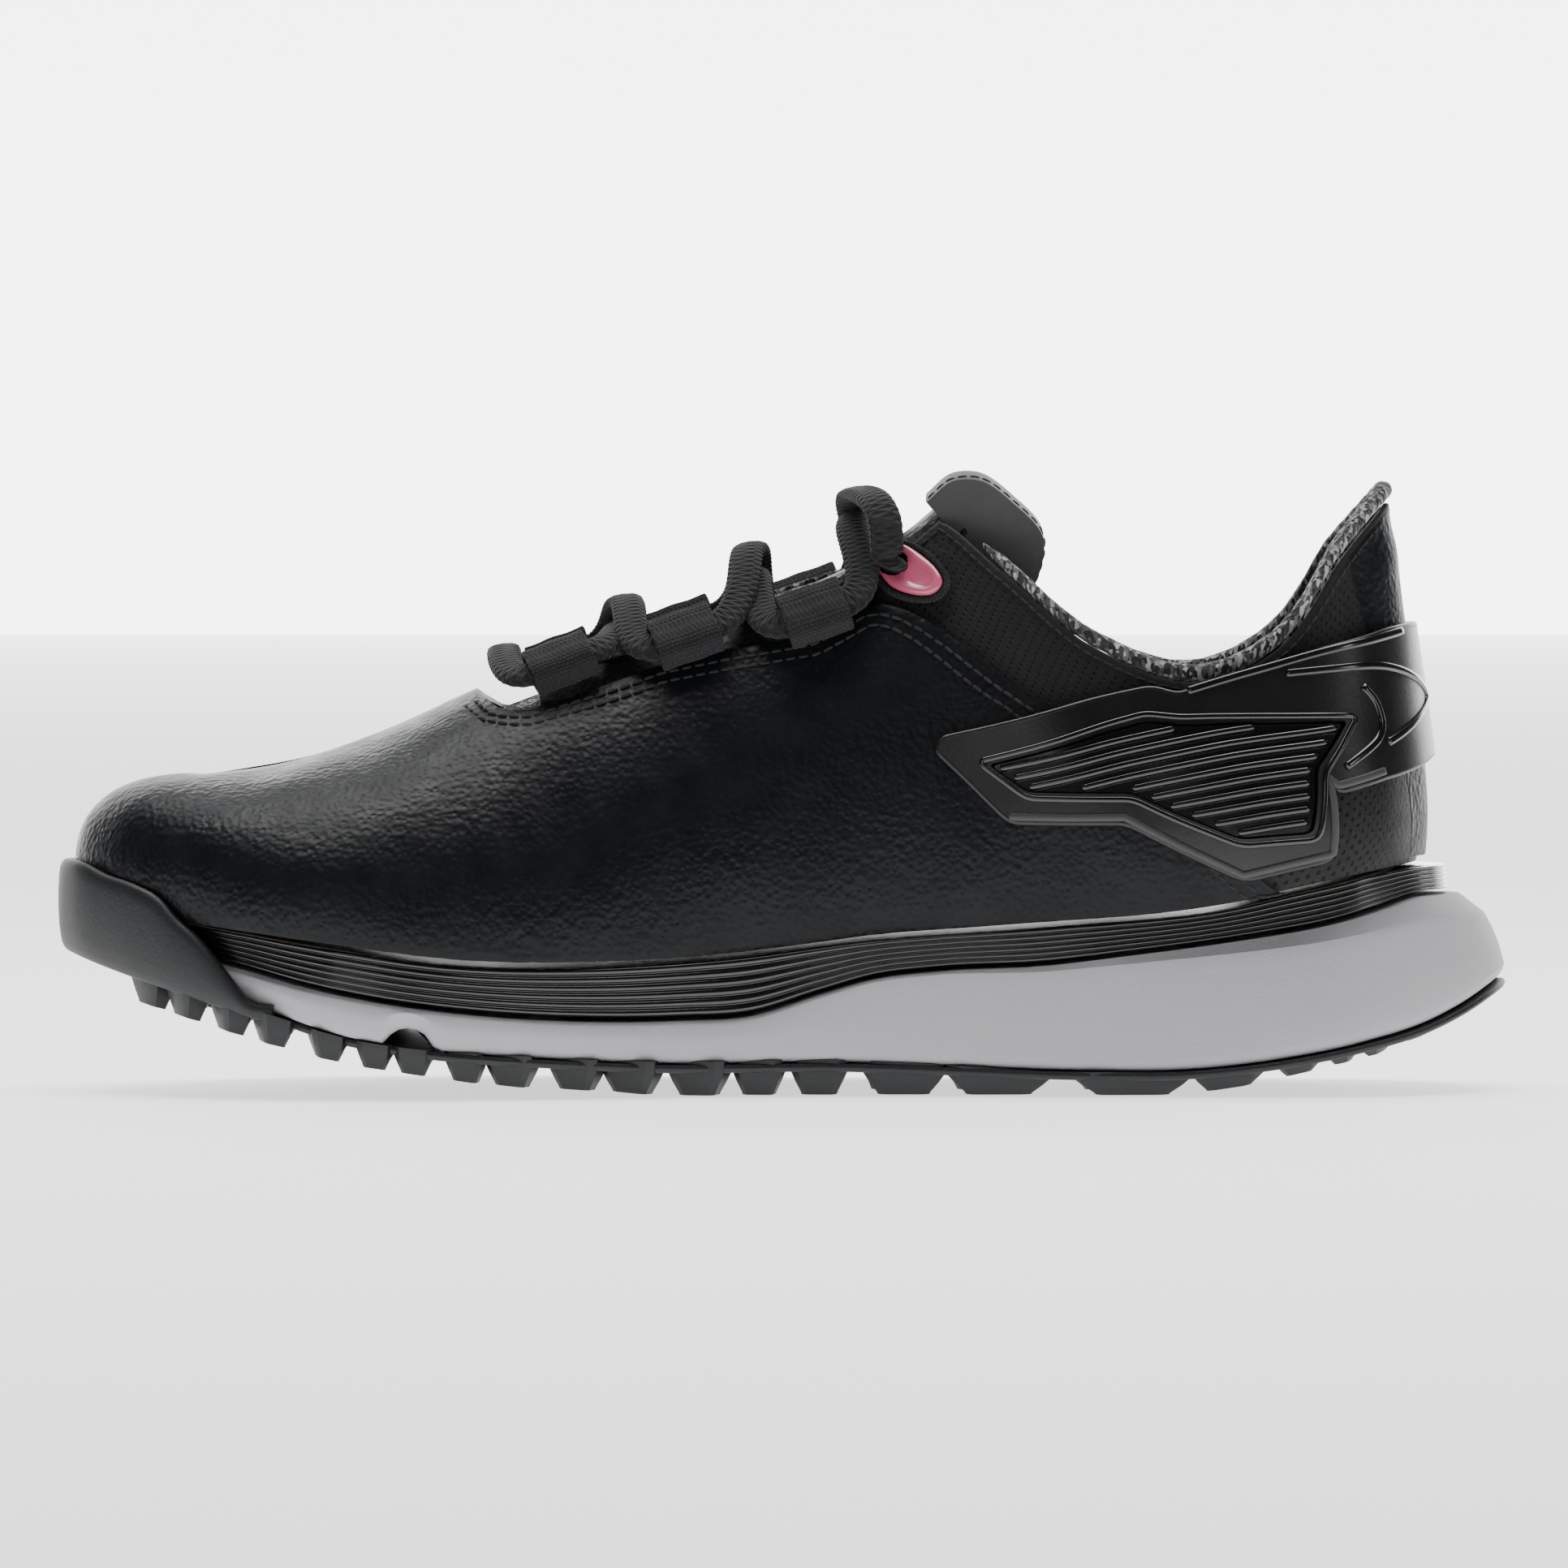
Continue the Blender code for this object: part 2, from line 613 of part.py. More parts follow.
def tread(cutters, looks):
    """Rows of tapered lugs across the sole, every foot following the plate's slope."""
    points = []
    faces = []
    pitch = 14.5
    for x in np.arange(-126.0, 132.0, pitch):
        left, right = half_width(x, MEDIAL), half_width(x, LATERAL)
        width = left + right
        across = max(2, round(width / 21.0))
        for k in range(across):
            y = -left + 6.5 + 5.0 + (width - 23.0) * k / (across - 1)
            size = 5.6 if FLAT_TREAD[0] - 10 < x < FLAT_TREAD[1] + 5 else 4.6
            tip = float(straight(LUG_TIPS, x))
            base = len(points)
            for level, share in ((1, 1.0), (0, 0.58)):
                for dx, dy in ((-1, -1), (1, -1), (1, 1), (-1, 1)):
                    px = x + dx * size * share
                    root = float(height(MIDSOLE_BOTTOM, px)) - GAP - PLATE_THICK + LUG_SINK
                    low = tip if FLAT_TREAD[0] <= x <= FLAT_TREAD[1] else float(straight(LUG_TIPS, px))
                    points.append((px, y + dy * size * share, root if level else low))
            faces.append((base + 3, base + 2, base + 1, base))
            faces.append((base + 4, base + 5, base + 6, base + 7))
            for a in range(4):
                b = (a + 1) % 4
                faces.append((base + a, base + b, base + 4 + b, base + 4 + a))
    return add_mesh("lugs", points, faces, looks["outsole_rubber"], cutters, smooth=False)


def inner_ring(line, gap):
    """A closed line inside the lining at the heights of a line."""
    points = []
    for u in span(0.0, 2.0, len(OUTLINE) + 1)[:-1]:
        foot = loft(u, 0.0)
        z = float(height(FEATHER_LINE, foot[0])) + line
        t = t_at_height(u, z)
        place = skin(u, t, float(lining_out(u, t)) - LINING_THICK - gap)
        points.append((place[0], place[1], z))
    return np.array(points)


def footbed(name, low, thick, surface, where):
    """A flat layer inside the lining, on the lasting line."""
    rings = [inner_ring(low, FOOTBED_GAP), inner_ring(low + thick, FOOTBED_GAP)]
    return ring_solid(name, rings, surface, where)


# The upper


def span(start, end, count):
    """Places round the loft from start to end, closer together round the toe and the heel."""
    even = np.linspace(-1.0, 3.0, 801)
    crowded = even - CROWDING * np.sin(2 * math.pi * even) / (2 * math.pi)
    first, last = np.interp((start, end), crowded, even)
    return [float(u) for u in np.interp(np.linspace(first, last, count), even, crowded)]


def upper_pieces(parts, cutters, looks):
    front = THROAT_FRONT_U
    vamp_end = u_at(97.0, 38.0)
    toe_side = span(front, vamp_end, 15)
    us = [-u for u in reversed(toe_side)] + span(-front, front, 17)[1:-1] + toe_side
    panel(
        "vamp", us, lambda u: 0.0, lambda u: t_at_edge(u, VAMP_EDGE) if abs(u) > front else 1.0,
        LAYER_GAP + VAMP_THICK, VAMP_THICK, 9, looks["leather"], parts,
    )
    knit = lining(parts, looks)
    tuck = 0.13
    for name, side in SIDES.items():
        end = 1.0 - 0.006
        us = span(front + 0.045, end, 26)
        if side == LATERAL:
            us = [2.0 - u for u in us]
        quarter = panel(
            f"quarter_{name}", us,
            lambda u: max(0.0, t_at_edge(u, VAMP_EDGE) - tuck) if t_at_edge(u, VAMP_EDGE) < 1 else 0.0,
            t_at_throat, -0.2, QUARTER_THICK, 9, looks["leather_perforated"], parts,
        )
        eyelet(name, side, quarter, knit, parts, cutters, looks)
    backstay = span(0.965, 1.035, 5)
    panel(
        "backstay", backstay, lambda u: 0.02, lambda u: 0.98, LAYER_GAP + STIFFENER_THICK,
        STIFFENER_THICK, 9, looks["leather"], parts,
    )
    puff_out = -QUARTER_THICK - LAYER_GAP
    panel(
        "toe_puff", span(-0.16, 0.16, 17), lambda u: 0.0, lambda u: 0.62 - 6 * u * u, -0.4,
        STIFFENER_THICK, 7, looks["stiffener"], parts,
    )
    panel(
        "heel_counter", span(0.80, 1.20, 21), lambda u: 0.0,
        lambda u: 0.58 - 6 * (u - 1) ** 2, puff_out, STIFFENER_THICK, 6, looks["stiffener"], parts,
    )


def collar_start():
    """Where, round the loft, the padded collar begins behind the facing's top corner."""
    return float(np.interp(COLLAR_START_X, np.maximum.accumulate(GRID[:201, -1, 0]), SAMPLE_U[:201]))


def foam_depth(u, t):
    """How deep the lining stands inside the quarters: foam thickens it round the ankle."""
    u = np.asarray(u, float) % 2.0
    round_ankle = np.clip((np.abs(u - 1.0) - 0.36) / -0.06, 0, 1)
    round_ankle *= np.clip((np.abs(u - 1.0) - 0.02) / 0.05, 0.55, 1)
    rise = np.clip((t - 0.58) / 0.14, 0, 1)
    return COLLAR_FOAM * round_ankle * rise * rise * (3 - 2 * rise)


def lining_out(u, t):
    return -(QUARTER_THICK + 2 * LAYER_GAP + STIFFENER_THICK) - foam_depth(u, t)


def lining(parts, looks):
    """The knit lining, all round the foot, rolled outwards over the padded collar's edge."""
    u_roll = collar_start()
    knit = panel(
        "lining", span(0.0, 2.0, 65), lambda u: 0.0, lining_top, lining_out,
        LINING_THICK, 8, looks["knit"], parts,
    )
    for name, side in SIDES.items():
        us = span(0.70, 0.945, 9)
        sections = []
        for u in us if side == MEDIAL else [2.0 - u for u in us]:
            ts = np.linspace(0.66, 0.93, 5)
            deep = lining_out(u, ts) + LAYER_GAP + 2 * GAP
            outer = -(QUARTER_THICK + LAYER_GAP) * np.ones(5)
            middle_out = np.minimum(outer, deep + 0.2)
            outer = np.maximum(outer, deep + 0.3)
            sections.append(
                np.concatenate([skin(u, ts, middle_out), skin(u, ts[::-1], outer[::-1])])
            )
        section_loft(f"collar_foam_{name}", sections, looks["foam"], parts)
    us = span(u_roll, 2.0 - u_roll, 49)
    sections = []
    for u in us:
        crown = loft(u, 1.0)
        rise = loft(u, 1.0) - loft(u, 0.97)
        rise /= np.linalg.norm(rise)
        out = loft_normal(u, 1.0)
        centre = crown + rise * (GAP + COLLAR_ROLL / 2 + 0.4) - out * (COLLAR_ROLL / 2 + 0.2)
        ring_points = [
            centre + COLLAR_ROLL / 2 * (math.cos(a) * out + math.sin(a) * rise)
            for a in np.linspace(0, 2 * math.pi, 9)[:-1]
        ]
        sections.append(ring_points)
    section_loft("collar_binding", sections, looks["knit"], parts)
    return knit


def lining_top(u):
    return min(t_at_throat(u % 2.0), 0.97 if collar_start() < u % 2.0 < 2.0 - collar_start() else 1.0)


def surface_frame(u, t, out):
    """A place on the upper with its three directions: along the shoe, up the upper, outwards."""
    place = skin(u, t, out)
    normal = loft_normal(u, t)
    along = loft(u + 0.01, t) - loft(u - 0.01, t)
    along -= normal * along.dot(normal)
    along /= np.linalg.norm(along)
    if along[0] < 0:
        along = -along
    up = np.cross(normal, along)
    if up[2] < 0:
        up = -up
    return place, along, up, normal


def placed(made, place, along, up, normal):
    matrix = Matrix([list(v) for v in zip(along, up, normal)])
    made.matrix_world = Matrix.Translation(Vector(place) * MM) @ matrix.to_4x4()


def disc(name, radius, depth, frame, surface, where, sides=16):
    mesh = bpy.data.meshes.new(name)
    work = bmesh.new()
    bmesh.ops.create_cone(
        work, cap_ends=True, segments=sides, radius1=radius * MM, radius2=radius * MM, depth=depth * MM
    )
    work.to_mesh(mesh)
    work.free()
    mesh.materials.append(surface)
    made = bpy.data.objects.new(name, mesh)
    where.objects.link(made)
    placed(made, *frame)
    return made


def side_frame(x, z, side, out):
    u = u_at(x, z, side)
    return surface_frame(u, t_at_height(u, z), out)


def eyelet(name, side, quarter, knit, parts, cutters, looks):
    """A moulded insert round the top lace hole, and the hole through it and the quarter."""
    x, z = EYELET_HOLE
    place, along, up, normal = side_frame(x, z, side, GAP)
    points = []
    count = len(EYELET_OUTLINE)
    for out in (0.0, EYELET_THICK):
        for px, pz in EYELET_OUTLINE:
            across = (px - x) / max(abs(along[0]), 0.5)
            rise = (pz - z - along[2] * across) / up[2]
            points.append(place + along * across + up * rise + normal * (out + LAYER_GAP))
    faces = [tuple(range(count)), tuple(range(count, 2 * count))]
    faces += [(a, (a + 1) % count, count + (a + 1) % count, count + a) for a in range(count)]
    insert = add_mesh(f"eyelet_{name}", points, faces, looks["eyelet"], parts, smooth=False)
    frame = (place, along, up, normal)
    through = disc(f"lace_hole_{name}", LACE_HOLE_RADIUS, 24.0, frame, looks["eyelet"], cutters)
    hide(through)
    for holed in (insert, quarter, knit):
        boolean(holed, through, "DIFFERENCE")


def throat_u():
    """Where, round the loft, the throat's front lies on the ridge."""
    us = SAMPLE_U[:201]
    return float(np.interp(THROAT_FRONT_X, np.maximum.accumulate(GRID[:201, -1, 0]), us))


THROAT_FRONT_U = throat_u()


# Flat outlines wrapped onto the upper: w is a length round the heel, z a height

ROUND = 300.0


def flat_place(x, z, side):
    return ((u_at(x, z, side) - 1.0) * ROUND, z)


def wrapped(name, loops, inner, outer, cell, surface, where):
    """A flat plate with holes, cut into cells and laid on the upper between two distances out."""
    curve = bpy.data.curves.new(name, "CURVE")
    curve.dimensions = "2D"
    curve.fill_mode = "BOTH"
    curve.extrude = 0.5 * MM
    for loop in loops:
        line = curve.splines.new("POLY")
        line.points.add(len(loop) - 1)
        line.use_cyclic_u = True
        for point, (w, z) in zip(line.points, loop):
            point.co = (w * MM, z * MM, 0.0, 1.0)
    flat = bpy.data.objects.new(name, curve)
    where.objects.link(flat)
    graph = bpy.context.evaluated_depsgraph_get()
    mesh = bpy.data.meshes.new_from_object(flat.evaluated_get(graph))
    bpy.data.objects.remove(flat)
    work = bmesh.new()
    work.from_mesh(mesh)
    bmesh.ops.remove_doubles(work, verts=work.verts, dist=0.01 * MM)
    ws = [p[0] for loop in loops for p in loop]
    zs = [p[1] for loop in loops for p in loop]
    for low, high, step, axis in ((min(ws), max(ws), cell, 0), (min(zs), max(zs), 2.2 * cell, 1)):
        for k in range(1, int((high - low) / step) + 1):
            at, normal = [0, 0, 0], [0, 0, 0]
            at[axis], normal[axis] = (low + k * step) * MM, 1
            bmesh.ops.bisect_plane(
                work, geom=work.verts[:] + work.edges[:] + work.faces[:], plane_co=at, plane_no=normal
            )
    bmesh.ops.triangulate(work, faces=work.faces)
    for vertex in work.verts:
        u = 1.0 + vertex.co.x / MM / ROUND
        t = t_at_height(u % 2.0, vertex.co.y / MM)
        out = inner(u) if vertex.co.z < 0 else outer(u)
        vertex.co = Vector(skin(u, t, out)) * MM
    bmesh.ops.recalc_face_normals(work, faces=work.faces)
    work.to_mesh(mesh)
    work.free()
    mesh.materials.clear()
    mesh.materials.append(surface)
    made = bpy.data.objects.new(name, mesh)
    where.objects.link(made)
    return made


def mirrored(points):
    return [(-w, z) for w, z in reversed(points)]


def over_vamp(u):
    """1 where the cage lies on the vamp, falling to 0 round the heel, where it lies closer."""
    return float(np.clip((abs(u - 1.0) - 0.10) / 0.06, 0.0, 1.0))


def cage_inner(u):
    return 2 * LAYER_GAP + STIFFENER_THICK + (VAMP_THICK - STIFFENER_THICK) * over_vamp(u)


def cage_outer(u):
    return cage_inner(u) + CAGE_HEEL_THICK + (CAGE_THICK - CAGE_HEEL_THICK) * over_vamp(u)


def shrink(points, by):
    centre = np.mean(points, axis=0)
    away = np.array(points) - centre
    far = np.linalg.norm(away, axis=1, keepdims=True)
    return [tuple(point) for point in centre + away * (1 - by / far)]


def cage_pieces(parts, looks):
    top = [flat_place(x, z, MEDIAL) for x, z in CAGE_OUTLINE]
    low = [flat_place(x, z, MEDIAL) for x, z in CAGE_LOWER]
    heel_top = [(-6.0, CAGE_HEEL_TOP), (6.0, CAGE_HEEL_TOP)]
    heel_low = [(6.0, CAGE_HEEL_LOW), (-6.0, CAGE_HEEL_LOW)]
    outline = top + heel_top + mirrored(top) + mirrored(low) + heel_low + low
    window = [flat_place(x, z, MEDIAL) for x, z in CAGE_WINDOW]
    loops = [outline, window[::-1], mirrored(window)[::-1]]
    wrapped("heel_cage", loops, cage_inner, cage_outer, 7.0, looks["cage"], parts)
    for name, side in SIDES.items():
        field = shrink(window, 0.45)
        field = field if side == MEDIAL else mirrored(field)
        wrapped(
            f"rib_insert_{name}", [field], cage_inner, lambda u: cage_outer(u) - 0.9, 7.0,
            looks["rib"], parts,
        )


# Lacing and tongue


def loop_places():
    """Where each webbing loop sits: its u, its t and its distance out."""
    places = {}
    for number, x in enumerate(LOOP_CENTRES, 1):
        for name, side in SIDES.items():
            u = float(np.interp(x, np.maximum.accumulate(GRID[:201, -1, 0]), SAMPLE_U[:201]))
            u = u if side == MEDIAL else 2.0 - u
            line = column(u)
            out = np.abs(line[:, 1] - middle(line[:, 0]))[::-1]
            half = throat_half(x) + LOOP_HEIGHT / 2 + 0.6
            t = float(np.interp(half, out, SAMPLE_T[::-1]))
            places[name, number] = (u, t, LAYER_GAP + VAMP_THICK + GAP + LOOP_THICK / 2)
    return places


def webbing_loop(name, frame, surface, where):
    """A sleeve of webbing, open at both ends for the lace."""
    sections = []
    for at in (-LOOP_LENGTH / 2, LOOP_LENGTH / 2):
        for inset in (0.0, LOOP_WALL):
            high, thick = LOOP_HEIGHT / 2 - inset, LOOP_THICK / 2 - inset
            for k in range(12):
                a = 2 * math.pi * (k + 0.5) / 12
                c, s = math.cos(a), math.sin(a)
                power = 0.6
                sections.append(
                    (at, high * math.copysign(abs(c) ** power, c), thick * math.copysign(abs(s) ** power, s))
                )
    faces = []
    for k in range(12):
        j = (k + 1) % 12
        for a, b in ((0, 2), (3, 1), (1, 0), (2, 3)):
            faces.append((a * 12 + k, a * 12 + j, b * 12 + j, b * 12 + k))
    made = add_mesh(name, sections, faces, surface, where)
    placed(made, *frame)
    return made


def lacing_pieces(parts, looks):
    places = loop_places()
    frames = {}
    for (name, number), (u, t, out) in places.items():
        frames[name, number] = surface_frame(u, t, out)
        webbing_loop(f"lace_loop_{name}_{number}", frames[name, number], looks["webbing"], parts)
    route = lace_route(frames)
    tube("lace", even_route(route, 6.2), LACE_DIAMETER, looks["lace"], parts)


def lace_through(frames, name, number, forward):
    """The lace's way through one loop, a little past both its ends."""
    place, along, up, normal = frames[name, number]
    reach = LOOP_LENGTH / 2
    ends = [place - along * reach, place, place + along * reach]
    return ends if forward else ends[::-1]


def lace_route(frames):
    """From the medial eyelet down the throat, across its front, and back up to the lateral one."""
    def crossing(number, lift):
        a = frames["medial", number][0]
        b = frames["lateral", number][0]
        c = frames["medial", number + 1][0] if number < len(LOOP_CENTRES) else np.array([21.0, 0, 101.0])
        x = (a[0] + c[0]) / 2
        ridge = float(np.interp(x, *RIDGE))
        top = LACE_TOP_RISE if number == len(LOOP_CENTRES) else 0.0
        return np.array([x, middle(x), ridge + lift + top])

    strand = eyelet_way(MEDIAL)
    for number, name in zip((3, 2, 1), ("lateral", "medial", "lateral")):
        strand.append(crossing(number, LACE_HIGH))
        strand += lace_through(frames, name, number, False)
    front = frames["medial", 1][0]
    bar_x = front[0] - LOOP_LENGTH / 2 - 5.0
    strand.append(np.array([bar_x, middle(bar_x), float(np.interp(bar_x, *RIDGE)) + LACE_HIGH]))
    other = eyelet_way(LATERAL)
    for number, name in zip((3, 2, 1), ("medial", "lateral", "medial")):
        other.append(crossing(number, LACE_HIGH - LACE_DIAMETER - LACE_CLEAR))
        other += lace_through(frames, name, number, False)
    return strand + other[::-1]


def eyelet_way(side):
    """Out through the top lace hole from inside, as the start of that half of the lace."""
    x, z = EYELET_HOLE
    place, along, up, normal = side_frame(x, z, side, GAP)
    return [
        place - normal * 3.2,
        place - normal * 1.0,
        place + normal * 4.5,
        place + normal * 8.5 + up * 4.0,
    ]


RIDGE = (np.maximum.accumulate(GRID[:201, -1, 0]), GRID[:201, -1, 2])

TONGUE_LINE = (
    # x, z of its outer face on the middle line; half width; depth of its arch; reach of the arc
    (-56.0, 70.0, 14.0, 7.0, 1.0), (-42.0, 77.2, 17.0, 10.0, 1.1), (-13.0, 89.0, 15.5, 13.5, 1.2),
    (10.0, 99.4, 11.8, 14.0, 1.2), (21.0, 105.9, 11.2, 14.0, 1.2), (31.0, 113.4, 12.6, 12.0, 1.15),
)


def tongue_layer(name, top, low, shorten, surface, where):
    """One layer of the tongue, between two depths below its outer face."""
    table = np.array(TONGUE_LINE)
    rows = hermite(np.arange(len(table)), table, np.linspace(0.0, len(table) - 1.0 - shorten, TONGUE_ROWS))
    sections = []
    for k, (x, z, half, arch, reach) in enumerate(rows):
        ahead = rows[min(k + 1, TONGUE_ROWS - 1)][:2] - rows[max(k - 1, 0)][:2]
        ahead /= np.linalg.norm(ahead)
        down = np.array([ahead[1], 0.0, -ahead[0]])
        outer, inner = [], []
        for angle in np.linspace(-reach, reach, 9):
            drop = arch * (1 - math.cos(angle))
            side = half * math.sin(angle)
            base = np.array([x, middle(x) + side, z])
            lean = np.array([0.0, -math.sin(angle) * 0.8, 0.0])
            into = down * math.cos(angle * 0.8) + lean
            into /= np.linalg.norm(into)
            outer.append(base + down * drop + into * top)
            inner.append(base + down * drop + into * low)
        sections.append(outer + inner[::-1])
    return section_loft(name, sections, surface, where)


def tongue_pieces(parts, looks):
    skin_thick, foam_thick, knit_thick = TONGUE_LAYERS
    depth = 0.0
    made = []
    for name, thick, shorten, look in (
        ("tongue_outer", skin_thick, 0.0, "leather"),
        ("tongue_foam", foam_thick, 0.12, "foam"),
        ("tongue_lining", knit_thick, 0.0, "knit"),
    ):
        made.append(tongue_layer(name, depth, depth + thick, shorten, looks[look], parts))
        depth += thick + GAP
    made.append(tab(parts, looks))
    return made


def tab(parts, looks):
    """The suede pull tab folded over the tongue's top edge."""
    x, z = TONGUE_LINE[-1][0], TONGUE_LINE[-1][1]
    run = ((-3.5, 1.5), (1.5, 5.5), (6.0, 5.8), (13.5, 1.0), (19.0, -5.5), (18.0, -13.0), (14.5, -19.0))
    sections = []
    for y in np.linspace(-TAB_HALF_WIDTH, TAB_HALF_WIDTH, 7):
        sag = -0.018 * y * y
        outer = [np.array([x + dx, y, z + dz + sag]) for dx, dz in run]
        inner = []
        for k, place in enumerate(outer):
            ahead = outer[min(k + 1, len(run) - 1)] - outer[max(k - 1, 0)]
            ahead /= np.linalg.norm(ahead)
            inner.append(place + np.array([-ahead[2], 0.0, ahead[0]]) * -1.3)
        sections.append(outer + inner[::-1])
    return section_loft("tongue_tab", sections, looks["suede"], parts)


def looks_of_the_shoe():
    return {
        "leather": material("leather", (0.012, 0.013, 0.015), 0.45),
        "leather_perforated": material("leather_perforated", (0.011, 0.011, 0.012), 0.55),
        "stiffener": material("stiffener", (0.2, 0.19, 0.17), 0.8),
        "knit": material("knit", (0.06, 0.06, 0.062), 0.9),
        "foam": material("foam", (0.3, 0.3, 0.28), 0.95),
        "suede": material("suede", (0.05, 0.05, 0.052), 0.9),
        "cage": material("cage", (0.009, 0.009, 0.01), 0.35),
        "rib": material("rib", (0.014, 0.014, 0.015), 0.3),
        "webbing": material("webbing", (0.008, 0.008, 0.009), 0.7),
        "lace": material("lace", (0.01, 0.01, 0.011), 0.85),
        "eyelet": material("eyelet", (0.5, 0.08, 0.16), 0.2),
        "midsole_grey": material("midsole_grey", (0.38, 0.38, 0.4), 0.7),
        "midsole_black": material("midsole_black", (0.008, 0.008, 0.009), 0.3),
        "outsole_rubber": material("outsole_rubber", (0.012, 0.013, 0.014), 0.6),
        "shank": material("shank", (0.05, 0.05, 0.05), 0.4),
        "board": material("board", (0.3, 0.25, 0.18), 0.9),
    }


def stretch_to_size(parts):
    """One empty over the whole shoe gives it its overall length, width and height."""
    size = bpy.data.objects.new("overall_size", None)
    parts.objects.link(size)
    for made in list(bpy.data.objects):
        if made.parent is None and made != size:
            made.parent = size
    size.scale = [want / drawn for want, drawn in zip((LENGTH, WIDTH, HEIGHT), DRAWN_SIZE)]


def main():
    clear_scene()
    parts = collection("golf_shoe")
    cutters = collection("cutters")
    looks = looks_of_the_shoe()
    sole_pieces(parts, cutters, looks)
    footbed("lasting_board", GAP, BOARD_THICK, looks["board"], parts)
    footbed("sockliner", 2 * GAP + BOARD_THICK, SOCKLINER_THICK, looks["knit"], parts)
    upper_pieces(parts, cutters, looks)
    cage_pieces(parts, looks)
    lacing_pieces(parts, looks)
    hinge = bpy.data.objects.new("tongue_hinge", None)
    hinge.location = Vector((TONGUE_HINGE[0], 0.0, TONGUE_HINGE[1])) * MM
    parts.objects.link(hinge)
    bpy.context.view_layer.update()
    for layer in tongue_pieces(parts, looks):
        layer.parent = hinge
        layer.matrix_parent_inverse = hinge.matrix_world.inverted()
    stretch_to_size(parts)


main()
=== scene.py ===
"""The golf shoe's looks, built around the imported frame: leather, knit, foam, rubber and lace.

The frame's solids stay where they are. Every visible layer is made again here from the same loft of
the upper and the same rings of the sole, with finer surfaces, rounded edges, stitches and ribs.
Lengths are in millimetres until a mesh is made.
"""

import json
import math

import bmesh
import bpy
import numpy as np
from mathutils import Matrix, Vector

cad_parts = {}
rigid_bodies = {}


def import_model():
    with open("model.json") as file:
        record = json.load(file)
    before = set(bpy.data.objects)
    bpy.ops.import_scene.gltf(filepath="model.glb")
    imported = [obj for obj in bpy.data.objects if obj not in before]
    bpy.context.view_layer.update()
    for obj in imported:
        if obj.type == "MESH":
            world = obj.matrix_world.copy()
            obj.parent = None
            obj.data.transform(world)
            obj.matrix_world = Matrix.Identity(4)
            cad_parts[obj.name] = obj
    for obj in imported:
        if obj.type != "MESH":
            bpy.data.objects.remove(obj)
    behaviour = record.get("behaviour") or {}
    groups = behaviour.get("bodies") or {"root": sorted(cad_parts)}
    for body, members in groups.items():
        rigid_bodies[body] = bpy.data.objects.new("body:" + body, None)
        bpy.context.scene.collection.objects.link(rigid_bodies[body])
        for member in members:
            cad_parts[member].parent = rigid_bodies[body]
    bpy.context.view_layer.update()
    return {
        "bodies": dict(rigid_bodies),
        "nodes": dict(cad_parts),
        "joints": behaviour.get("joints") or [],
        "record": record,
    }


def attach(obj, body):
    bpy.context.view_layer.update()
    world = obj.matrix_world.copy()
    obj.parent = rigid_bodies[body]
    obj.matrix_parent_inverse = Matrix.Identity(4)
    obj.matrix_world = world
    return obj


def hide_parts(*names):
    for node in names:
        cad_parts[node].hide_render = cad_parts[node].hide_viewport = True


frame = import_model()

MM = 0.001
MEDIAL = -1
LATERAL = 1
SIDES = {"medial": MEDIAL, "lateral": LATERAL}

# Driving dimensions
LENGTH = 280.0
DRAWN_LENGTH = 280.0
WIDTH_SCALE = 1.0
HEIGHT_SCALE = 1.0
GAP = 0.3
LAYER_GAP = 0.5
QUARTER_THICK = 1.0
VAMP_THICK = 1.1
STIFFENER_THICK = 0.9
LINING_THICK = 0.9
CAGE_THICK = 2.2
CAGE_HEEL_THICK = 1.6
COLLAR_FOAM = 4.0
COLLAR_ROLL = 3.2
BUMPER_WALL = 2.4
BUMPER_FOOT = 1.2
PLATE_THICK = 1.6
LACE_DIAMETER = 4.2
LACE_HOLE_RADIUS = 2.9
LACE_HIGH = 6.6
LACE_TOP_RISE = 1.4
LOOP_LENGTH = 12.5
LOOP_HEIGHT = 11.0
LOOP_THICK = 6.8
LOOP_WALL = 0.8
THROAT_HALF_FRONT = 9.5
THROAT_HALF_TOP = 13.0
TONGUE_LAYERS = (1.1, 4.0, 0.8)

# Heights along the shoe, as (x, z) pairs
FEATHER_LINE = (
    (-140, 35.0), (-130, 35.0), (-114, 32.9), (-91, 29.7), (-62, 25.9), (-34, 25.4), (-11, 26.7),
    (16, 30.0), (52, 32.8), (83, 35.8), (105, 40.3), (127, 43.6), (140, 44.0),
)
BAND_LINE = (
    (-140, 31.0), (-122, 28.0), (-107, 24.9), (-91, 21.2), (-75, 18.2), (-58, 16.1), (-39, 14.8),
    (-20, 14.7), (-6, 15.5), (7, 19.5), (17, 22.4), (30, 24.0), (49, 25.0), (66, 27.0),
    (85, 29.5), (103, 32.2), (116, 34.9), (127, 37.4), (140, 38.0),
)
MIDSOLE_BOTTOM = (
    (-140, 29.0), (-131, 26.0), (-120, 22.6), (-108, 19.0), (-99, 16.2), (-84, 11.9), (-67, 9.3),
    (-54, 8.2), (-39, 7.2), (-24, 6.4), (13, 6.3), (30, 5.7), (57, 4.8), (77, 5.0), (87, 5.9),
    (99, 7.6), (111, 10.0), (124, 13.6), (131, 16.6), (140, 21.5),
)
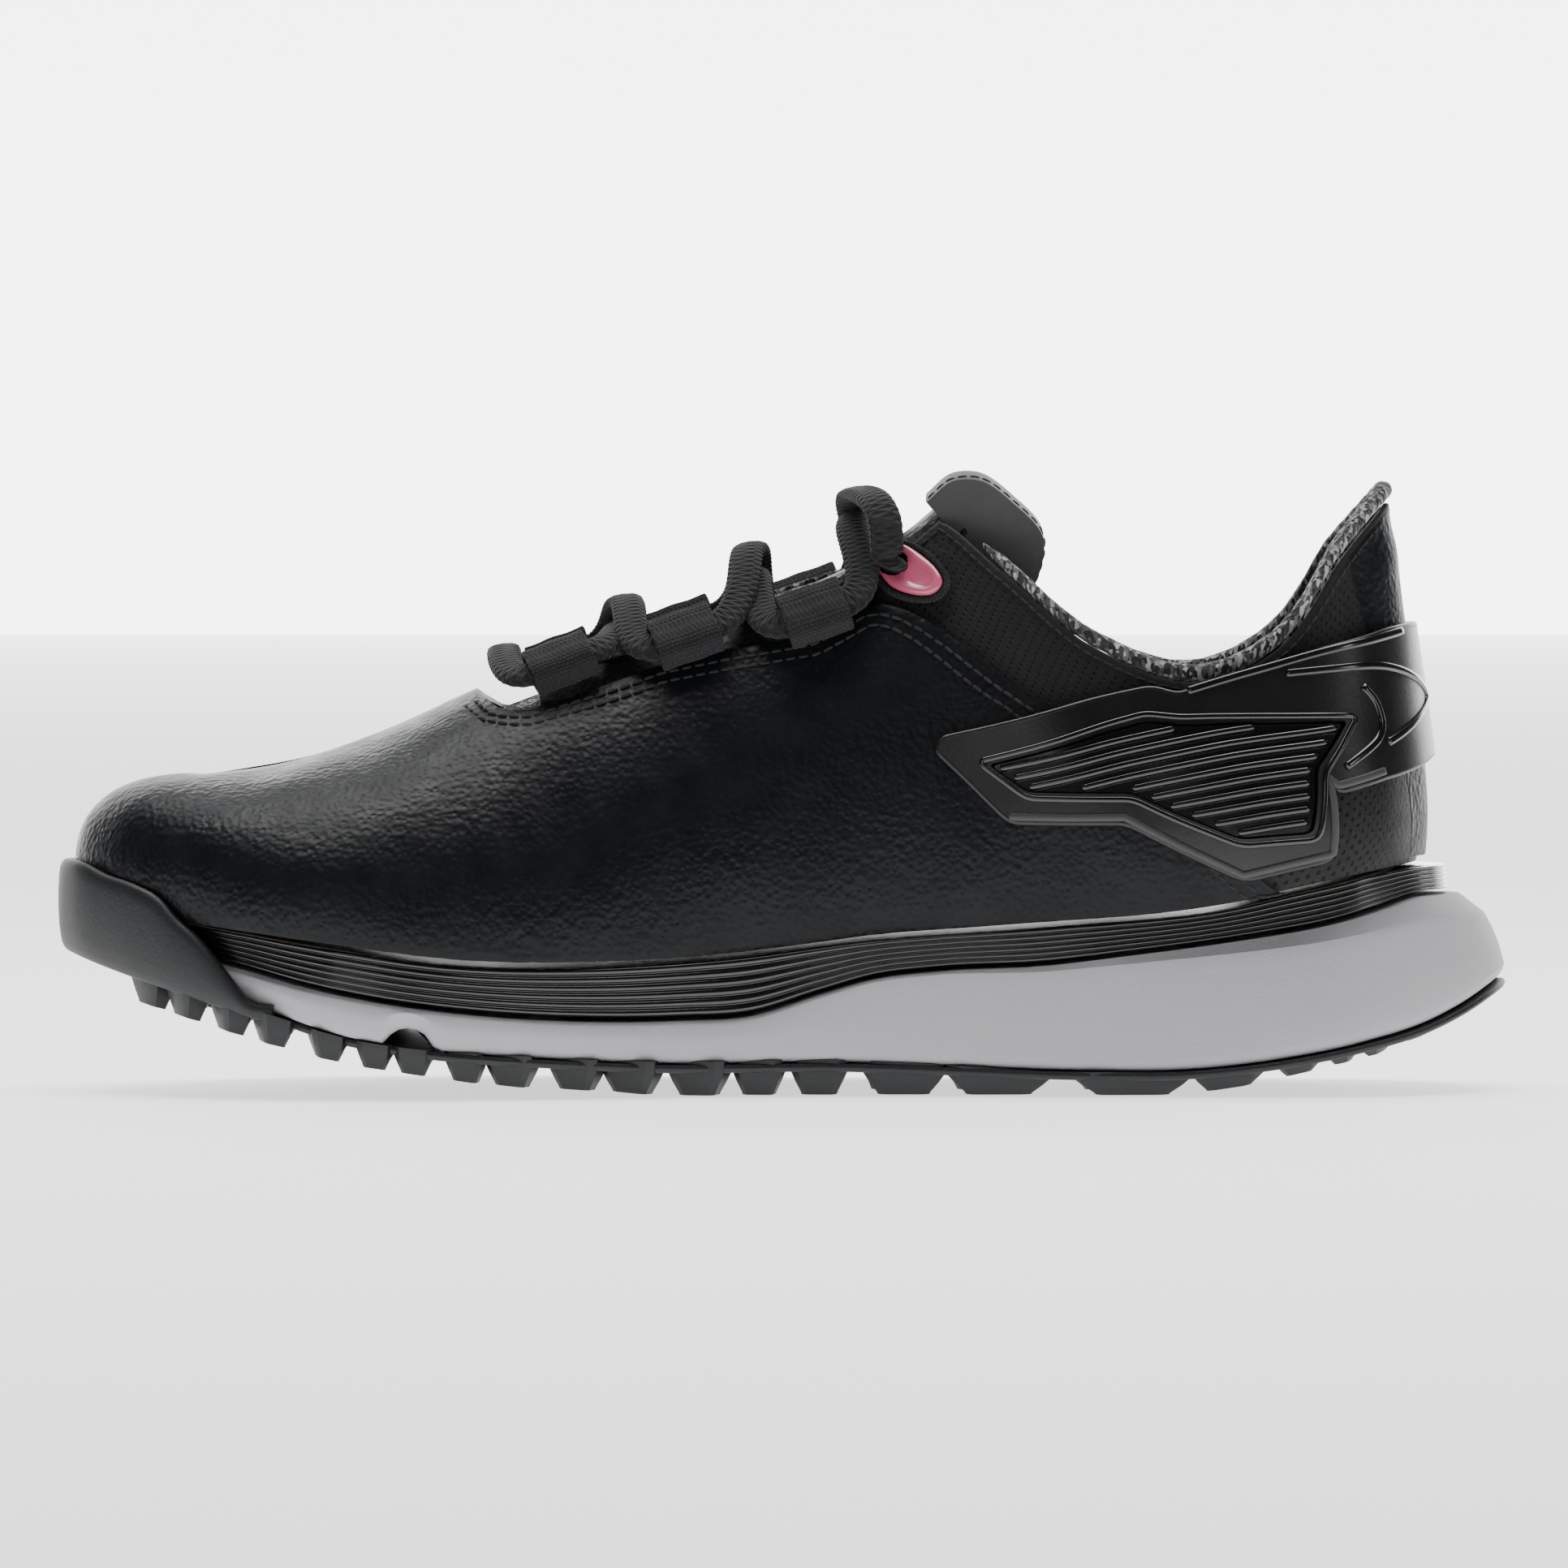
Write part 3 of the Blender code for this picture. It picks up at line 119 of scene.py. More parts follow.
LUG_TIPS = (
    (-140, 24.0), (-134, 21.6), (-125, 18.0), (-115, 15.2), (-101, 11.0), (-87, 7.4), (-80, 6.0),
    (-60, 3.0), (-50, 2.0), (-36, 1.2), (-22, 0.0), (74, 0.0), (86, 1.4), (98, 4.0), (113, 7.6),
    (128, 13.0), (137, 19.0),
)
FLAT_TREAD = (-22.0, 74.0)
BUMPER_TOP = (
    (-140, 44.6), (-137, 44.4), (-131, 42.0), (-125, 40.2), (-120, 37.6), (-117, 34.3),
    (-112, 30.0), (-107, 24.0), (-102, 17.8),
)

# Plan outline of the sole, as (x, medial half width, lateral half width), and its toe point
TOE_POINT = (-140.0, -9.0)
HEEL_POINT = (140.0, 0.0)
SOLE_OUTLINE = (
    (-137, 18.0, 1.0), (-128, 29.0, 16.0), (-114, 39.5, 31.0), (-98, 46.5, 41.5), (-80, 50.0, 48.0),
    (-60, 49.5, 50.0), (-38, 44.5, 48.5), (-10, 37.0, 43.0), (20, 34.5, 40.0), (60, 36.0, 38.0),
    (95, 37.5, 37.5), (115, 34.0, 34.0), (129, 25.5, 25.5), (137, 14.0, 14.0),
)

# The upper's loft: feather point on each side, top-line point, and the two handles between them.
# Every y is a distance outwards from the middle line of the upper.
UPPER_STATIONS = (
    # feather x, y medial, y lateral   top x, y, z        low handle        high handle
    ((-127.0, 14.0, -127.0, 12.5), (-113.3, 0.0, 59.3), (-4.6, 2.4, 12.0), (-13.0, 13.0, 0.5)),
    ((-116.0, 25.6, -116.0, 26.0), (-109.5, 0.0, 59.4), (-2.3, 3.2, 14.0), (-6.0, 19.0, 0.2)),
    ((-98.0, 38.5, -99.0, 37.0), (-98.5, 0.0, 61.0), (0.0, 3.8, 16.0), (-1.0, 24.0, 0.0)),
    ((-79.0, 44.5, -80.0, 44.5), (-81.0, 0.0, 65.8), (0.0, 3.5, 19.0), (0.0, 26.0, 0.0)),
    ((-58.0, 45.0, -60.0, 46.0), (-62.0, 0.0, 74.4), (0.0, 3.5, 22.0), (0.0, 26.0, 0.0)),
    ((-37.0, 41.0, -37.0, 44.5), (-41.0, 0.0, 83.4), (0.0, 4.5, 25.0), (0.0, 24.0, 0.0)),
    ((-10.0, 33.5, -10.0, 39.5), (-13.0, 0.0, 94.6), (0.0, 7.0, 27.0), (0.0, 21.0, -0.5)),
    ((18.0, 31.0, 18.0, 36.7), (12.0, 0.0, 106.0), (0.0, 7.0, 29.0), (0.0, 18.0, -1.0)),
    ((37.0, 31.7, 37.0, 35.7), (28.0, 11.5, 110.6), (0.0, 6.5, 28.0), (0.0, 9.0, -13.0)),
    ((53.0, 32.5, 53.0, 35.0), (41.5, 21.5, 100.4), (0.0, 5.5, 25.0), (0.0, 7.0, -17.0)),
    ((73.0, 33.3, 73.0, 34.2), (60.0, 27.0, 85.2), (0.0, 4.5, 19.0), (0.5, 4.5, -16.0)),
    ((94.0, 33.0, 94.0, 33.0), (80.0, 28.0, 79.0), (1.0, 4.0, 17.0), (1.5, 4.0, -13.0)),
    ((111.0, 27.5, 111.0, 27.5), (95.5, 24.5, 86.0), (2.5, 3.0, 19.0), (3.0, 3.5, -14.0)),
    ((120.0, 15.5, 120.0, 15.5), (107.5, 16.5, 102.4), (3.0, 1.5, 20.0), (1.5, 1.8, -16.0)),
)
UPPER_TOE = ((-132.8, 0.0, -132.8, 0.0), (-114.0, 0.0, 59.3), (-5.8, 0.0, 12.0), (-19.5, 0.0, 0.7))
UPPER_HEEL = ((122.5, 0.0, 122.5, 0.0), (117.4, 0.0, 113.2), (3.2, 0.0, 21.0), (-1.8, 0.0, -19.0))
MIDDLE_LINE = ((-140, -8.5), (-114, -6.5), (-80, -3.0), (-40, 0.0), (140, 0.0))

# Seam and edge lines of the upper, seen from the side, as (x, z) pairs
VAMP_EDGE = (
    (-61.5, 80.0), (-58.0, 75.0), (-54.0, 72.3), (-48.8, 72.2), (-36, 76.5), (-23.6, 80.9),
    (-11, 83.8), (5.3, 86.9), (15.2, 92.4), (19, 93.0), (23, 92.2), (27.3, 90.2), (33.8, 86.0),
    (42.4, 79.5), (51.3, 73.4), (74, 56.0), (92.7, 40.0), (97.5, 37.0),
)
CAGE_OUTLINE = (
    (29.4, 65.2), (30.8, 67.3), (50.0, 71.9), (70.3, 76.7), (75.1, 75.1), (90.0, 80.0),
    (104.0, 84.7), (114.0, 88.0),
)
CAGE_LOWER = (
    (113.0, 60.2), (105.0, 57.6), (103.4, 59.0), (103.6, 45.6), (87.6, 41.9), (65.5, 52.1),
    (43.5, 52.2),
)
CAGE_WINDOW = (
    (39.5, 62.6), (69.5, 70.6), (76.0, 69.8), (106.5, 70.5), (101.0, 61.5), (100.0, 50.0),
    (87.0, 49.0), (66.5, 57.2), (47.0, 57.6),
)
CAGE_HEEL_TOP = 89.0
CAGE_HEEL_LOW = 64.5
EYELET_OUTLINE = (
    (17.6, 100.6), (19.6, 103.9), (22.8, 104.3), (28.7, 100.8), (31.5, 97.6), (30.4, 95.3),
    (27.0, 95.0), (22.0, 96.6),
)
EYELET_HOLE = (21.6, 100.7)
LOOP_CENTRES = (-42.2, -18.7, 5.2)
CROWDING = 0.55
COLLAR_START_X = 38.0
TRIM_END_X = 17.0
BUMPER_END_X = -97.0
RIB_SLOPE = 0.155
RIB_PITCH = 2.15
RIB_SHORTEST = 3.0
BRAID_WIDTH = 6.4
BRAID_THICK = 3.1
BRAID_STEP = 0.45
BRAID_WEAVE = 0.05


def hermite(knots, values, at):
    """A smooth curve through the values at the knots, read at the given places."""
    knots = np.asarray(knots, float)
    values = np.asarray(values, float)
    slopes = np.gradient(values, knots, axis=0)
    at = np.clip(np.asarray(at, float), knots[0], knots[-1])
    i = np.clip(np.searchsorted(knots, at, side="right") - 1, 0, len(knots) - 2)
    span = knots[i + 1] - knots[i]
    s = (at - knots[i]) / span
    extra = (1,) * (values.ndim - 1)
    s = s.reshape(s.shape + extra)
    span = span.reshape(span.shape + extra)
    return (
        (2 * s**3 - 3 * s**2 + 1) * values[i]
        + (s**3 - 2 * s**2 + s) * span * slopes[i]
        + (3 * s**2 - 2 * s**3) * values[i + 1]
        + (s**3 - s**2) * span * slopes[i + 1]
    )


def distances(points):
    """How far along a line each of its points lies."""
    return np.concatenate([[0], np.cumsum(np.linalg.norm(np.diff(points, axis=0), axis=1))])


def height(line, x):
    """The height of a line of (x, z) pairs at x."""
    pairs = np.array(line, float)
    return hermite(pairs[:, 0], pairs[:, 1], x) * HEIGHT_SCALE


def straight(line, x):
    """As height, with straight runs between the pairs."""
    pairs = np.array(line, float)
    return np.interp(x, pairs[:, 0], pairs[:, 1]) * HEIGHT_SCALE


def middle(x):
    return height(MIDDLE_LINE, x) / HEIGHT_SCALE


# The loft of the upper


def upper_controls():
    """Knots in u, and the four control points of the cross-line at each, as one closed round."""
    medial = [UPPER_TOE, *UPPER_STATIONS, UPPER_HEEL]
    rows = [(station, MEDIAL) for station in medial]
    rows += [(station, LATERAL) for station in medial[-2:0:-1]]
    controls = []
    for (feather, top, low, high), side in rows:
        column = 0 if side == MEDIAL else 2
        x, y = feather[column], feather[column + 1]
        foot = np.array([x, middle(x) + side * y * WIDTH_SCALE, 0.0])
        foot[2] = height(FEATHER_LINE, x) + 0.8
        crown = np.array([top[0], middle(top[0]) + side * top[1] * WIDTH_SCALE, top[2] * HEIGHT_SCALE])
        outwards = np.array([1.0, side * WIDTH_SCALE, HEIGHT_SCALE])
        controls.append((foot, foot + low * outwards, crown + high * outwards, crown))
    controls = np.array(controls)
    half = len(medial) - 1
    step = np.linalg.norm(np.diff(controls[: half + 1, [0, 3]], axis=0), axis=2).mean(axis=1)
    first = np.concatenate([[0.0], np.cumsum(step)]) / step.sum()
    knots = np.concatenate([first, 2.0 - first[-2:0:-1]])
    knots = np.concatenate([knots[-3:] - 2.0, knots, knots[:3] + 2.0])
    controls = np.concatenate([controls[-3:], controls, controls[:3]])
    return knots, controls


KNOTS, CONTROLS = upper_controls()
SAMPLE_U = np.linspace(0.0, 2.0, 401)
SAMPLE_T = np.linspace(0.0, 1.0, 81)
RIDGE_T = 0.985


def loft(u, t):
    """Points of the upper's own surface."""
    u, t = np.broadcast_arrays(np.asarray(u, float) % 2.0, np.asarray(t, float))
    c = hermite(KNOTS, CONTROLS, u)
    s = t[..., None]
    return (
        c[..., 0, :] * (1 - s) ** 3
        + 3 * c[..., 1, :] * s * (1 - s) ** 2
        + 3 * c[..., 2, :] * s**2 * (1 - s)
        + c[..., 3, :] * s**3
    )


def loft_normal(u, t):
    """Outward normals; on the closed ridge over the instep both sides share one."""
    u, t = np.broadcast_arrays(np.asarray(u, float), np.asarray(t, float))
    inside = np.clip(t, 0.01, RIDGE_T)
    step = 0.004
    along = loft(u + step, inside) - loft(u - step, inside)
    up = loft(u, inside + 0.01) - loft(u, inside - 0.01)
    normal = np.cross(along, up)
    normal /= np.maximum(np.linalg.norm(normal, axis=-1, keepdims=True), 1e-9)
    top = loft(u, 1.0)
    on_ridge = (np.abs(top[..., 1] - middle(top[..., 0])) < 0.05) & (t > 0.999)
    normal[..., 1] = np.where(on_ridge, 0.0, normal[..., 1])
    return normal / np.linalg.norm(normal, axis=-1, keepdims=True)


def skin(u, t, out):
    """Points that stand this far out of the upper's surface."""
    out = np.asarray(out, float)
    return loft(u, t) + loft_normal(u, t) * out[..., None]


GRID = loft(SAMPLE_U[:, None], SAMPLE_T[None, :])
HALF = len(SAMPLE_U) // 2
RIDGE = (np.maximum.accumulate(GRID[: HALF + 1, -1, 0]), GRID[: HALF + 1, -1, 2])


def ridge_u(x):
    """Where, round the medial half of the loft, the ridge over the instep lies at x."""
    return float(np.interp(x, RIDGE[0], SAMPLE_U[: HALF + 1]))


def ridge_z(x):
    return float(np.interp(x, *RIDGE))


def column(u):
    """The cross-line at u, read off the sampled loft."""
    place = np.clip((u % 2.0) / 2.0 * (len(SAMPLE_U) - 1), 0, len(SAMPLE_U) - 1.001)
    i = int(place)
    return GRID[i] * (1 - place + i) + GRID[i + 1] * (place - i)


def t_at_height(u, z):
    line = column(u)
    return float(np.interp(z, line[:, 2], SAMPLE_T))


def t_at_edge(u, edge):
    """Where the cross-line meets a seam drawn from the side, or 1 where it stays below it."""
    line = column(u)
    above = line[:, 2] - straight(edge, line[:, 0])
    over = np.nonzero(above > 0)[0]
    if not len(over):
        return 1.0
    i = over[0]
    if i == 0:
        return 0.0
    share = above[i - 1] / (above[i - 1] - above[i])
    return float(SAMPLE_T[i - 1] + share * (SAMPLE_T[i] - SAMPLE_T[i - 1]))


def throat_half(x):
    return float(np.interp(x, (-58.0, 15.0), (THROAT_HALF_FRONT, THROAT_HALF_TOP)))


def t_at_throat(u):
    """The facing's edge over the instep; 1 at the toe and along the collar."""
    line = column(u)
    if not THROAT_FRONT_X < line[-1, 0] < THROAT_BACK_X:
        return 1.0
    out = np.abs(line[:, 1] - middle(line[:, 0]))[::-1]
    half = throat_half(line[-1, 0])
    front = min(1.0, (line[-1, 0] - THROAT_FRONT_X) / 7.0)
    half *= math.sqrt(max(0.0, 1 - (1 - front) ** 2))
    if out[0] >= half:
        return 1.0
    return float(np.interp(half, out, SAMPLE_T[::-1]))


def u_at(x, z, side=MEDIAL):
    """Where a point seen from the side lies round the loft."""
    us = SAMPLE_U[: HALF + 1] if side == MEDIAL else SAMPLE_U[: HALF - 1 : -1]
    xs = []
    for u in us:
        line = column(u)
        xs.append(np.interp(z, line[:, 2], line[:, 0]))
    return float(np.interp(x, np.maximum.accumulate(xs), us))


THROAT_FRONT_X = VAMP_EDGE[0][0] + 1.5
THROAT_BACK_X = 40.0


# The sole


def outline_halves(count):
    """The plan outline from toe to heel on each side, evenly spaced, as x and y."""
    halves = []
    for side, place in ((MEDIAL, 1), (LATERAL, 2)):
        run = [TOE_POINT] + [(row[0], side * row[place]) for row in SOLE_OUTLINE] + [HEEL_POINT]
        mirror = [(row[0], -side * row[3 - place]) for row in (SOLE_OUTLINE[1], SOLE_OUTLINE[0])]
        tail = [(row[0], -side * row[3 - place]) for row in SOLE_OUTLINE[:-3:-1]]
        full = np.array(mirror + run + tail, float)
        full[:, 0] *= LENGTH / DRAWN_LENGTH
        full[:, 1] *= WIDTH_SCALE
        knots = distances(full)
        start, end = knots[2], knots[-3]
        dense = hermite(knots, full, np.linspace(start, end, 600))
        run_length = distances(dense)
        wanted = np.linspace(0, run_length[-1], count + 1)
        halves.append(np.stack([np.interp(wanted, run_length, dense[:, k]) for k in (0, 1)], axis=1))
    return halves


HALF_RING = 190
MEDIAL_HALF, LATERAL_HALF = outline_halves(HALF_RING)
OUTLINE = np.concatenate([MEDIAL_HALF, LATERAL_HALF[-2:0:-1]])


def outline_inwards():
    ahead = np.roll(OUTLINE, -1, axis=0) - np.roll(OUTLINE, 1, axis=0)
    ahead /= np.linalg.norm(ahead, axis=1, keepdims=True)
    return np.stack([-ahead[:, 1], ahead[:, 0]], axis=1)


INWARDS = outline_inwards()


def ring(inset, line):
    """The sole's outline moved inwards, at the heights of a line; both may be functions of x."""
    x = OUTLINE[:, 0]
    inset = inset(x) if callable(inset) else np.full(len(x), float(inset))
    z = line(x) if callable(line) else height(line, x)
    flat = OUTLINE + INWARDS * inset[:, None]
    return np.column_stack([flat, z])


def ring_faces(rings):
    """Walls between rings, and caps whose strips join the two sides."""
    n = len(OUTLINE)
    faces = []
    for k in range(rings - 1):
        for i in range(n):
            j = (i + 1) % n
            faces.append((k * n + i, k * n + j, (k + 1) * n + j, (k + 1) * n + i))
    for base in (0, (rings - 1) * n):
        faces.append((base, base + 1, base + n - 1))
        for i in range(1, n // 2 - 1):
            faces.append((base + i, base + i + 1, base + n - i - 1, base + n - i))
        faces.append((base + n // 2 - 1, base + n // 2, base + n // 2 + 1))
    return faces


def offset_line(line, by):
    return lambda x: height(line, x) + by


# Making pieces


def placed(name, data):
    made = bpy.data.objects.new(name, data)
    bpy.context.scene.collection.objects.link(made)
    return made


def assigned(made, body, nodes):
    """Says what a piece rides on, which CAD nodes it stands for."""
    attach(made, body)
    if nodes:
        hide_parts(*nodes)
    return made


def end_caps(rows, size):
    return [tuple(range(size)), tuple(range((rows - 1) * size, rows * size))]


def piece(name, points, faces, body, nodes, look, uvs=None, weld=0.02):
    """A smooth piece of the visual model, riding on a body and standing for CAD nodes."""
    mesh = bpy.data.meshes.new(name)
    mesh.from_pydata([Vector(p) * MM for p in points], [], faces)
    if uvs is not None:
        layer = mesh.uv_layers.new(name="UVMap")
        for loop in mesh.loops:
            layer.data[loop.index].uv = uvs[loop.vertex_index]
    work = bmesh.new()
    work.from_mesh(mesh)
    if weld:
        bmesh.ops.remove_doubles(work, verts=work.verts, dist=weld * MM)
        bmesh.ops.dissolve_degenerate(work, edges=work.edges, dist=0.002 * MM)
    bmesh.ops.recalc_face_normals(work, faces=work.faces)
    work.to_mesh(mesh)
    work.free()
    mesh.shade_smooth()
    mesh.materials.append(LOOKS[look])
    made = placed(name, mesh)
    return assigned(made, body, nodes)


def bevel(made, width, segments=2, angle=35):
    change = made.modifiers.new("bevel", "BEVEL")
    change.width = width * MM
    change.segments = segments
    change.limit_method = "ANGLE"
    change.angle_limit = math.radians(angle)
    change.harden_normals = False


def sharpen(made, angle=35):
    made.data.set_sharp_from_angle(angle=math.radians(angle))


def grid_faces(rows, columns, closed_rows=False, closed_columns=False):
    faces = []
    for i in range(rows if closed_rows else rows - 1):
        for j in range(columns if closed_columns else columns - 1):
            n, k = (i + 1) % rows, (j + 1) % columns
            faces.append((i * columns + j, n * columns + j, n * columns + k, i * columns + k))
    return faces


def lengths(points, axis):
    step = np.linalg.norm(np.diff(points, axis=axis), axis=2)
    total = np.cumsum(step, axis=axis)
    pad = [(0, 0), (0, 0)]
    pad[axis] = (1, 0)
    return np.pad(total, pad)


def span(start, end, count):
    """Places round the loft from start to end, closer together round the toe and the heel."""
    even = np.linspace(-1.0, 3.0, 801)
    crowded = even - CROWDING * np.sin(2 * math.pi * even) / (2 * math.pi)
    first, last = np.interp((start, end), crowded, even)
    return [float(u) for u in np.interp(np.linspace(first, last, count), even, crowded)]


def panel(name, us, low, high, out, thick, steps, body, nodes, look, edge=0.4):
    """A layer of the upper with its thickness and a rounded edge. Its UVs are millimetres / 100."""
    t = np.array([np.linspace(low(u), high(u), steps) for u in us])
    rows = np.array(us)[:, None]
    outs = np.broadcast_to(out(rows, t) if callable(out) else out, t.shape)
    grid = skin(rows, t, outs)
    along = lengths(grid, 0)[:, -1:] + 0 * t
    down = lengths(grid[:, ::-1], 1)[:, ::-1]
    uvs = np.stack([along, down], axis=-1).reshape(-1, 2) / 100
    made = piece(name, grid.reshape(-1, 3), grid_faces(len(us), steps), body, nodes, look, uvs)
    row = len(us) // 2
    outwards = Vector(loft_normal(us[row], float(t[row].mean())))
    near = Vector(skin(us[row], float(t[row].mean()), 0.0)) * MM
    face = min(made.data.polygons, key=lambda polygon: (polygon.center - near).length)
    if face.normal.dot(outwards) < 0:
        made.data.flip_normals()
    shell = made.modifiers.new("thickness", "SOLIDIFY")
    shell.thickness = thick * MM
    shell.offset = -1.0
    shell.use_even_offset = True
    if edge:
        bevel(made, edge)
    return made


def evened(points, step):
    """Points a step apart on a dense line."""
    points = np.array(points, float)
    run = distances(points)
    wanted = np.linspace(0, run[-1], max(2, round(run[-1] / step)) + 1)
    return np.stack([np.interp(wanted, run, points[:, k]) for k in range(3)], axis=1)


def even_route(points, step):
    """Points a step apart on the smooth curve through a route."""
    points = np.array(points, float)
    knots = distances(points)
    return evened(hermite(knots, points, np.linspace(0, knots[-1], 40 * len(points))), step)


def relaxed(points, times):
    """A line with its kinks eased and its ends held."""
    points = points.copy()
    for _ in range(times):
        points[1:-1] = points[1:-1] * 0.5 + (points[2:] + points[:-2]) * 0.25
    return points


def strip(name, route, ups, section, body, nodes, look, closed=False):
    """A flat cord or band: a cross-section of (across, up) pairs swept along a route."""
    route = np.array(route, float)
    ups = np.array(ups, float)
    if closed:
        ahead = np.roll(route, -1, axis=0) - np.roll(route, 1, axis=0)
    else:
        ahead = np.gradient(route, axis=0)
    ahead /= np.linalg.norm(ahead, axis=1, keepdims=True)
    ups = ups - ahead * np.sum(ups * ahead, axis=1, keepdims=True)
    ups /= np.linalg.norm(ups, axis=1, keepdims=True)
    across = np.cross(ahead, ups)
    points, uvs = [], []
    run = distances(route)
    for k, place in enumerate(route):
        for m, (a, b) in enumerate(section):
            points.append(place + across[k] * a + ups[k] * b)
            uvs.append((run[k] / 100, m / len(section)))
    size = len(section)
    faces = grid_faces(len(route), size, closed_rows=closed, closed_columns=True)
    if not closed:
        faces.append(tuple(range(size))[::-1])
        faces.append(tuple(range((len(route) - 1) * size, len(route) * size)))
    return piece(name, points, faces, body, nodes, look, uvs)


def oval(width, thick, count=14, power=0.75, ribs=0, depth=0.0):
    section = []
    for k in range(count):
        a = 2 * math.pi * k / count
        c, s = math.cos(a), math.sin(a)
        swell = 1 + depth * math.cos(ribs * a)
        section.append(
            (
                swell * width / 2 * math.copysign(abs(c) ** power, c),
                swell * thick / 2 * math.copysign(abs(s) ** power, s),
            )
        )
    return section


def stitches(name, line, normals, length, pitch, width, body="shoe"):
    """A row of thread stitches lying along a line, each a small pinched bead."""
    run = distances(line)
    points, faces = [], []
    rings = ((-0.5, 0.25), (-0.36, 0.85), (0.0, 1.0), (0.36, 0.85), (0.5, 0.25))
    for start in np.arange(pitch / 2, run[-1] - pitch / 2, pitch):
        place = np.array([np.interp(start, run, line[:, k]) for k in range(3)])
        ahead = np.array([np.interp(start + 0.5, run, line[:, k]) for k in range(3)]) - place
        ahead /= np.linalg.norm(ahead)
        up = np.array([np.interp(start, run, normals[:, k]) for k in range(3)])
        across = np.cross(ahead, up)
        across /= np.linalg.norm(across)
        base = len(points)
        for at, size in rings:
            for k in range(6):
                a = math.pi * k / 3
                points.append(
                    place
                    + ahead * at * length
                    + (across * math.cos(a) + up * math.sin(a)) * size * width / 2
                    + up * (size - 0.9) * width / 2
                )
        for i in range(len(rings) - 1):
            for k in range(6):
                j = (k + 1) % 6
                faces.append((base + i * 6 + k, base + i * 6 + j, base + i * 6 + 6 + j, base + i * 6 + 6 + k))
        faces.append(tuple(base + k for k in range(6))[::-1])
        faces.append(tuple(base + 24 + k for k in range(6)))
    return piece(name, points, faces, body, (), "thread", weld=0)


# Materials


def shader(name, colour, roughness, metallic=0.0):
    made = bpy.data.materials.new(name)
    made.use_nodes = True
    tree = made.node_tree
    base = tree.nodes["Principled BSDF"]
    base.inputs["Base Color"].default_value = (*colour, 1.0)
    base.inputs["Roughness"].default_value = roughness
    base.inputs["Metallic"].default_value = metallic
    return made, tree, base


def node(tree, kind, **values):
    made = tree.nodes.new(kind)
    for key, value in values.items():
        setattr(made, key, value)
    return made


def noise(tree, coordinate, scale, detail=4.0, roughness=0.5):
    made = node(tree, "ShaderNodeTexNoise")
    made.inputs["Scale"].default_value = scale
    made.inputs["Detail"].default_value = detail
    made.inputs["Roughness"].default_value = roughness
    tree.links.new(coordinate, made.inputs["Vector"])
    return made.outputs["Fac"]


def mapped(tree, value, low, high, to_low, to_high):
    made = node(tree, "ShaderNodeMapRange")
    for key, number in (("From Min", low), ("From Max", high), ("To Min", to_low), ("To Max", to_high)):
        made.inputs[key].default_value = number
    tree.links.new(value, made.inputs["Value"])
    return made.outputs["Result"]


def maths(tree, operation, a, b=None):
    made = node(tree, "ShaderNodeMath", operation=operation)
    for k, value in enumerate((a, b)):
        if value is None:
            continue
        if isinstance(value, (int, float)):
            made.inputs[k].default_value = value
        else:
            tree.links.new(value, made.inputs[k])
    return made.outputs[0]


def tint(tree, value, dark, light):
    made = node(tree, "ShaderNodeValToRGB")
    made.color_ramp.elements[0].color = (*dark, 1)
    made.color_ramp.elements[1].color = (*light, 1)
    tree.links.new(value, made.inputs["Fac"])
    return made.outputs["Color"]


def bump(tree, height_value, strength, distance, after=None):
    made = node(tree, "ShaderNodeBump")
    made.inputs["Strength"].default_value = strength
    made.inputs["Distance"].default_value = distance
    tree.links.new(height_value, made.inputs["Height"])
    if after is not None:
        tree.links.new(after, made.inputs["Normal"])
    return made.outputs["Normal"]


def object_place(tree):
    return node(tree, "ShaderNodeTexCoord").outputs["Object"]


def voronoi(tree, coordinate, scale, feature="F1", output="Distance"):
    made = node(tree, "ShaderNodeTexVoronoi", feature=feature)
    made.inputs["Scale"].default_value = scale
    tree.links.new(coordinate, made.inputs["Vector"])
    return made.outputs[output]


def leather_look(name, colour, light, roughness, grain=1.0, perforated=False):
    """Full-grain leather: fine pebbles, broad creases and a soft sheen."""
    made, tree, base = shader(name, colour, roughness)
    place = object_place(tree)
    pebbles = voronoi(tree, place, 900.0, "SMOOTH_F1")
    creases = noise(tree, place, 210.0, 5.0, 0.6)
    broad = noise(tree, place, 28.0, 3.0)
    tree.links.new(tint(tree, broad, colour, light), base.inputs["Base Color"])
    rough = mapped(tree, noise(tree, place, 160.0, 3.0), 0.3, 0.7, roughness - 0.05, roughness + 0.08)
    tree.links.new(rough, base.inputs["Roughness"])
    soft = bump(tree, creases, 0.25 * grain, 0.0007)
    surface = bump(tree, pebbles, 0.4 * grain, 0.0005, soft)
    if perforated:
        hole = perforation(tree)
        surface = bump(tree, maths(tree, "SUBTRACT", 1.0, hole), 0.9, 0.0005, surface)
        # The holes are painted near-black in the leather's colour: painted shade inside the punched holes,
        # which are not cut.
        hole_shade_mix = node(tree, "ShaderNodeMix", data_type="RGBA")
        tree.links.new(hole, hole_shade_mix.inputs["Factor"])
        tree.links.new(base.inputs["Base Color"].links[0].from_socket, hole_shade_mix.inputs["A"])
        hole_shade_mix.inputs["B"].default_value = (0.0008, 0.0008, 0.0008, 1)
        tree.links.new(hole_shade_mix.outputs["Result"], base.inputs["Base Color"])
    tree.links.new(surface, base.inputs["Normal"])
    base.inputs["Specular IOR Level"].default_value = 0.2
    base.inputs["Sheen Weight"].default_value = 0.02
    base.inputs["Sheen Roughness"].default_value = 0.45
    base.inputs["Sheen Tint"].default_value = (0.6, 0.75, 1.0, 1.0)
    return made


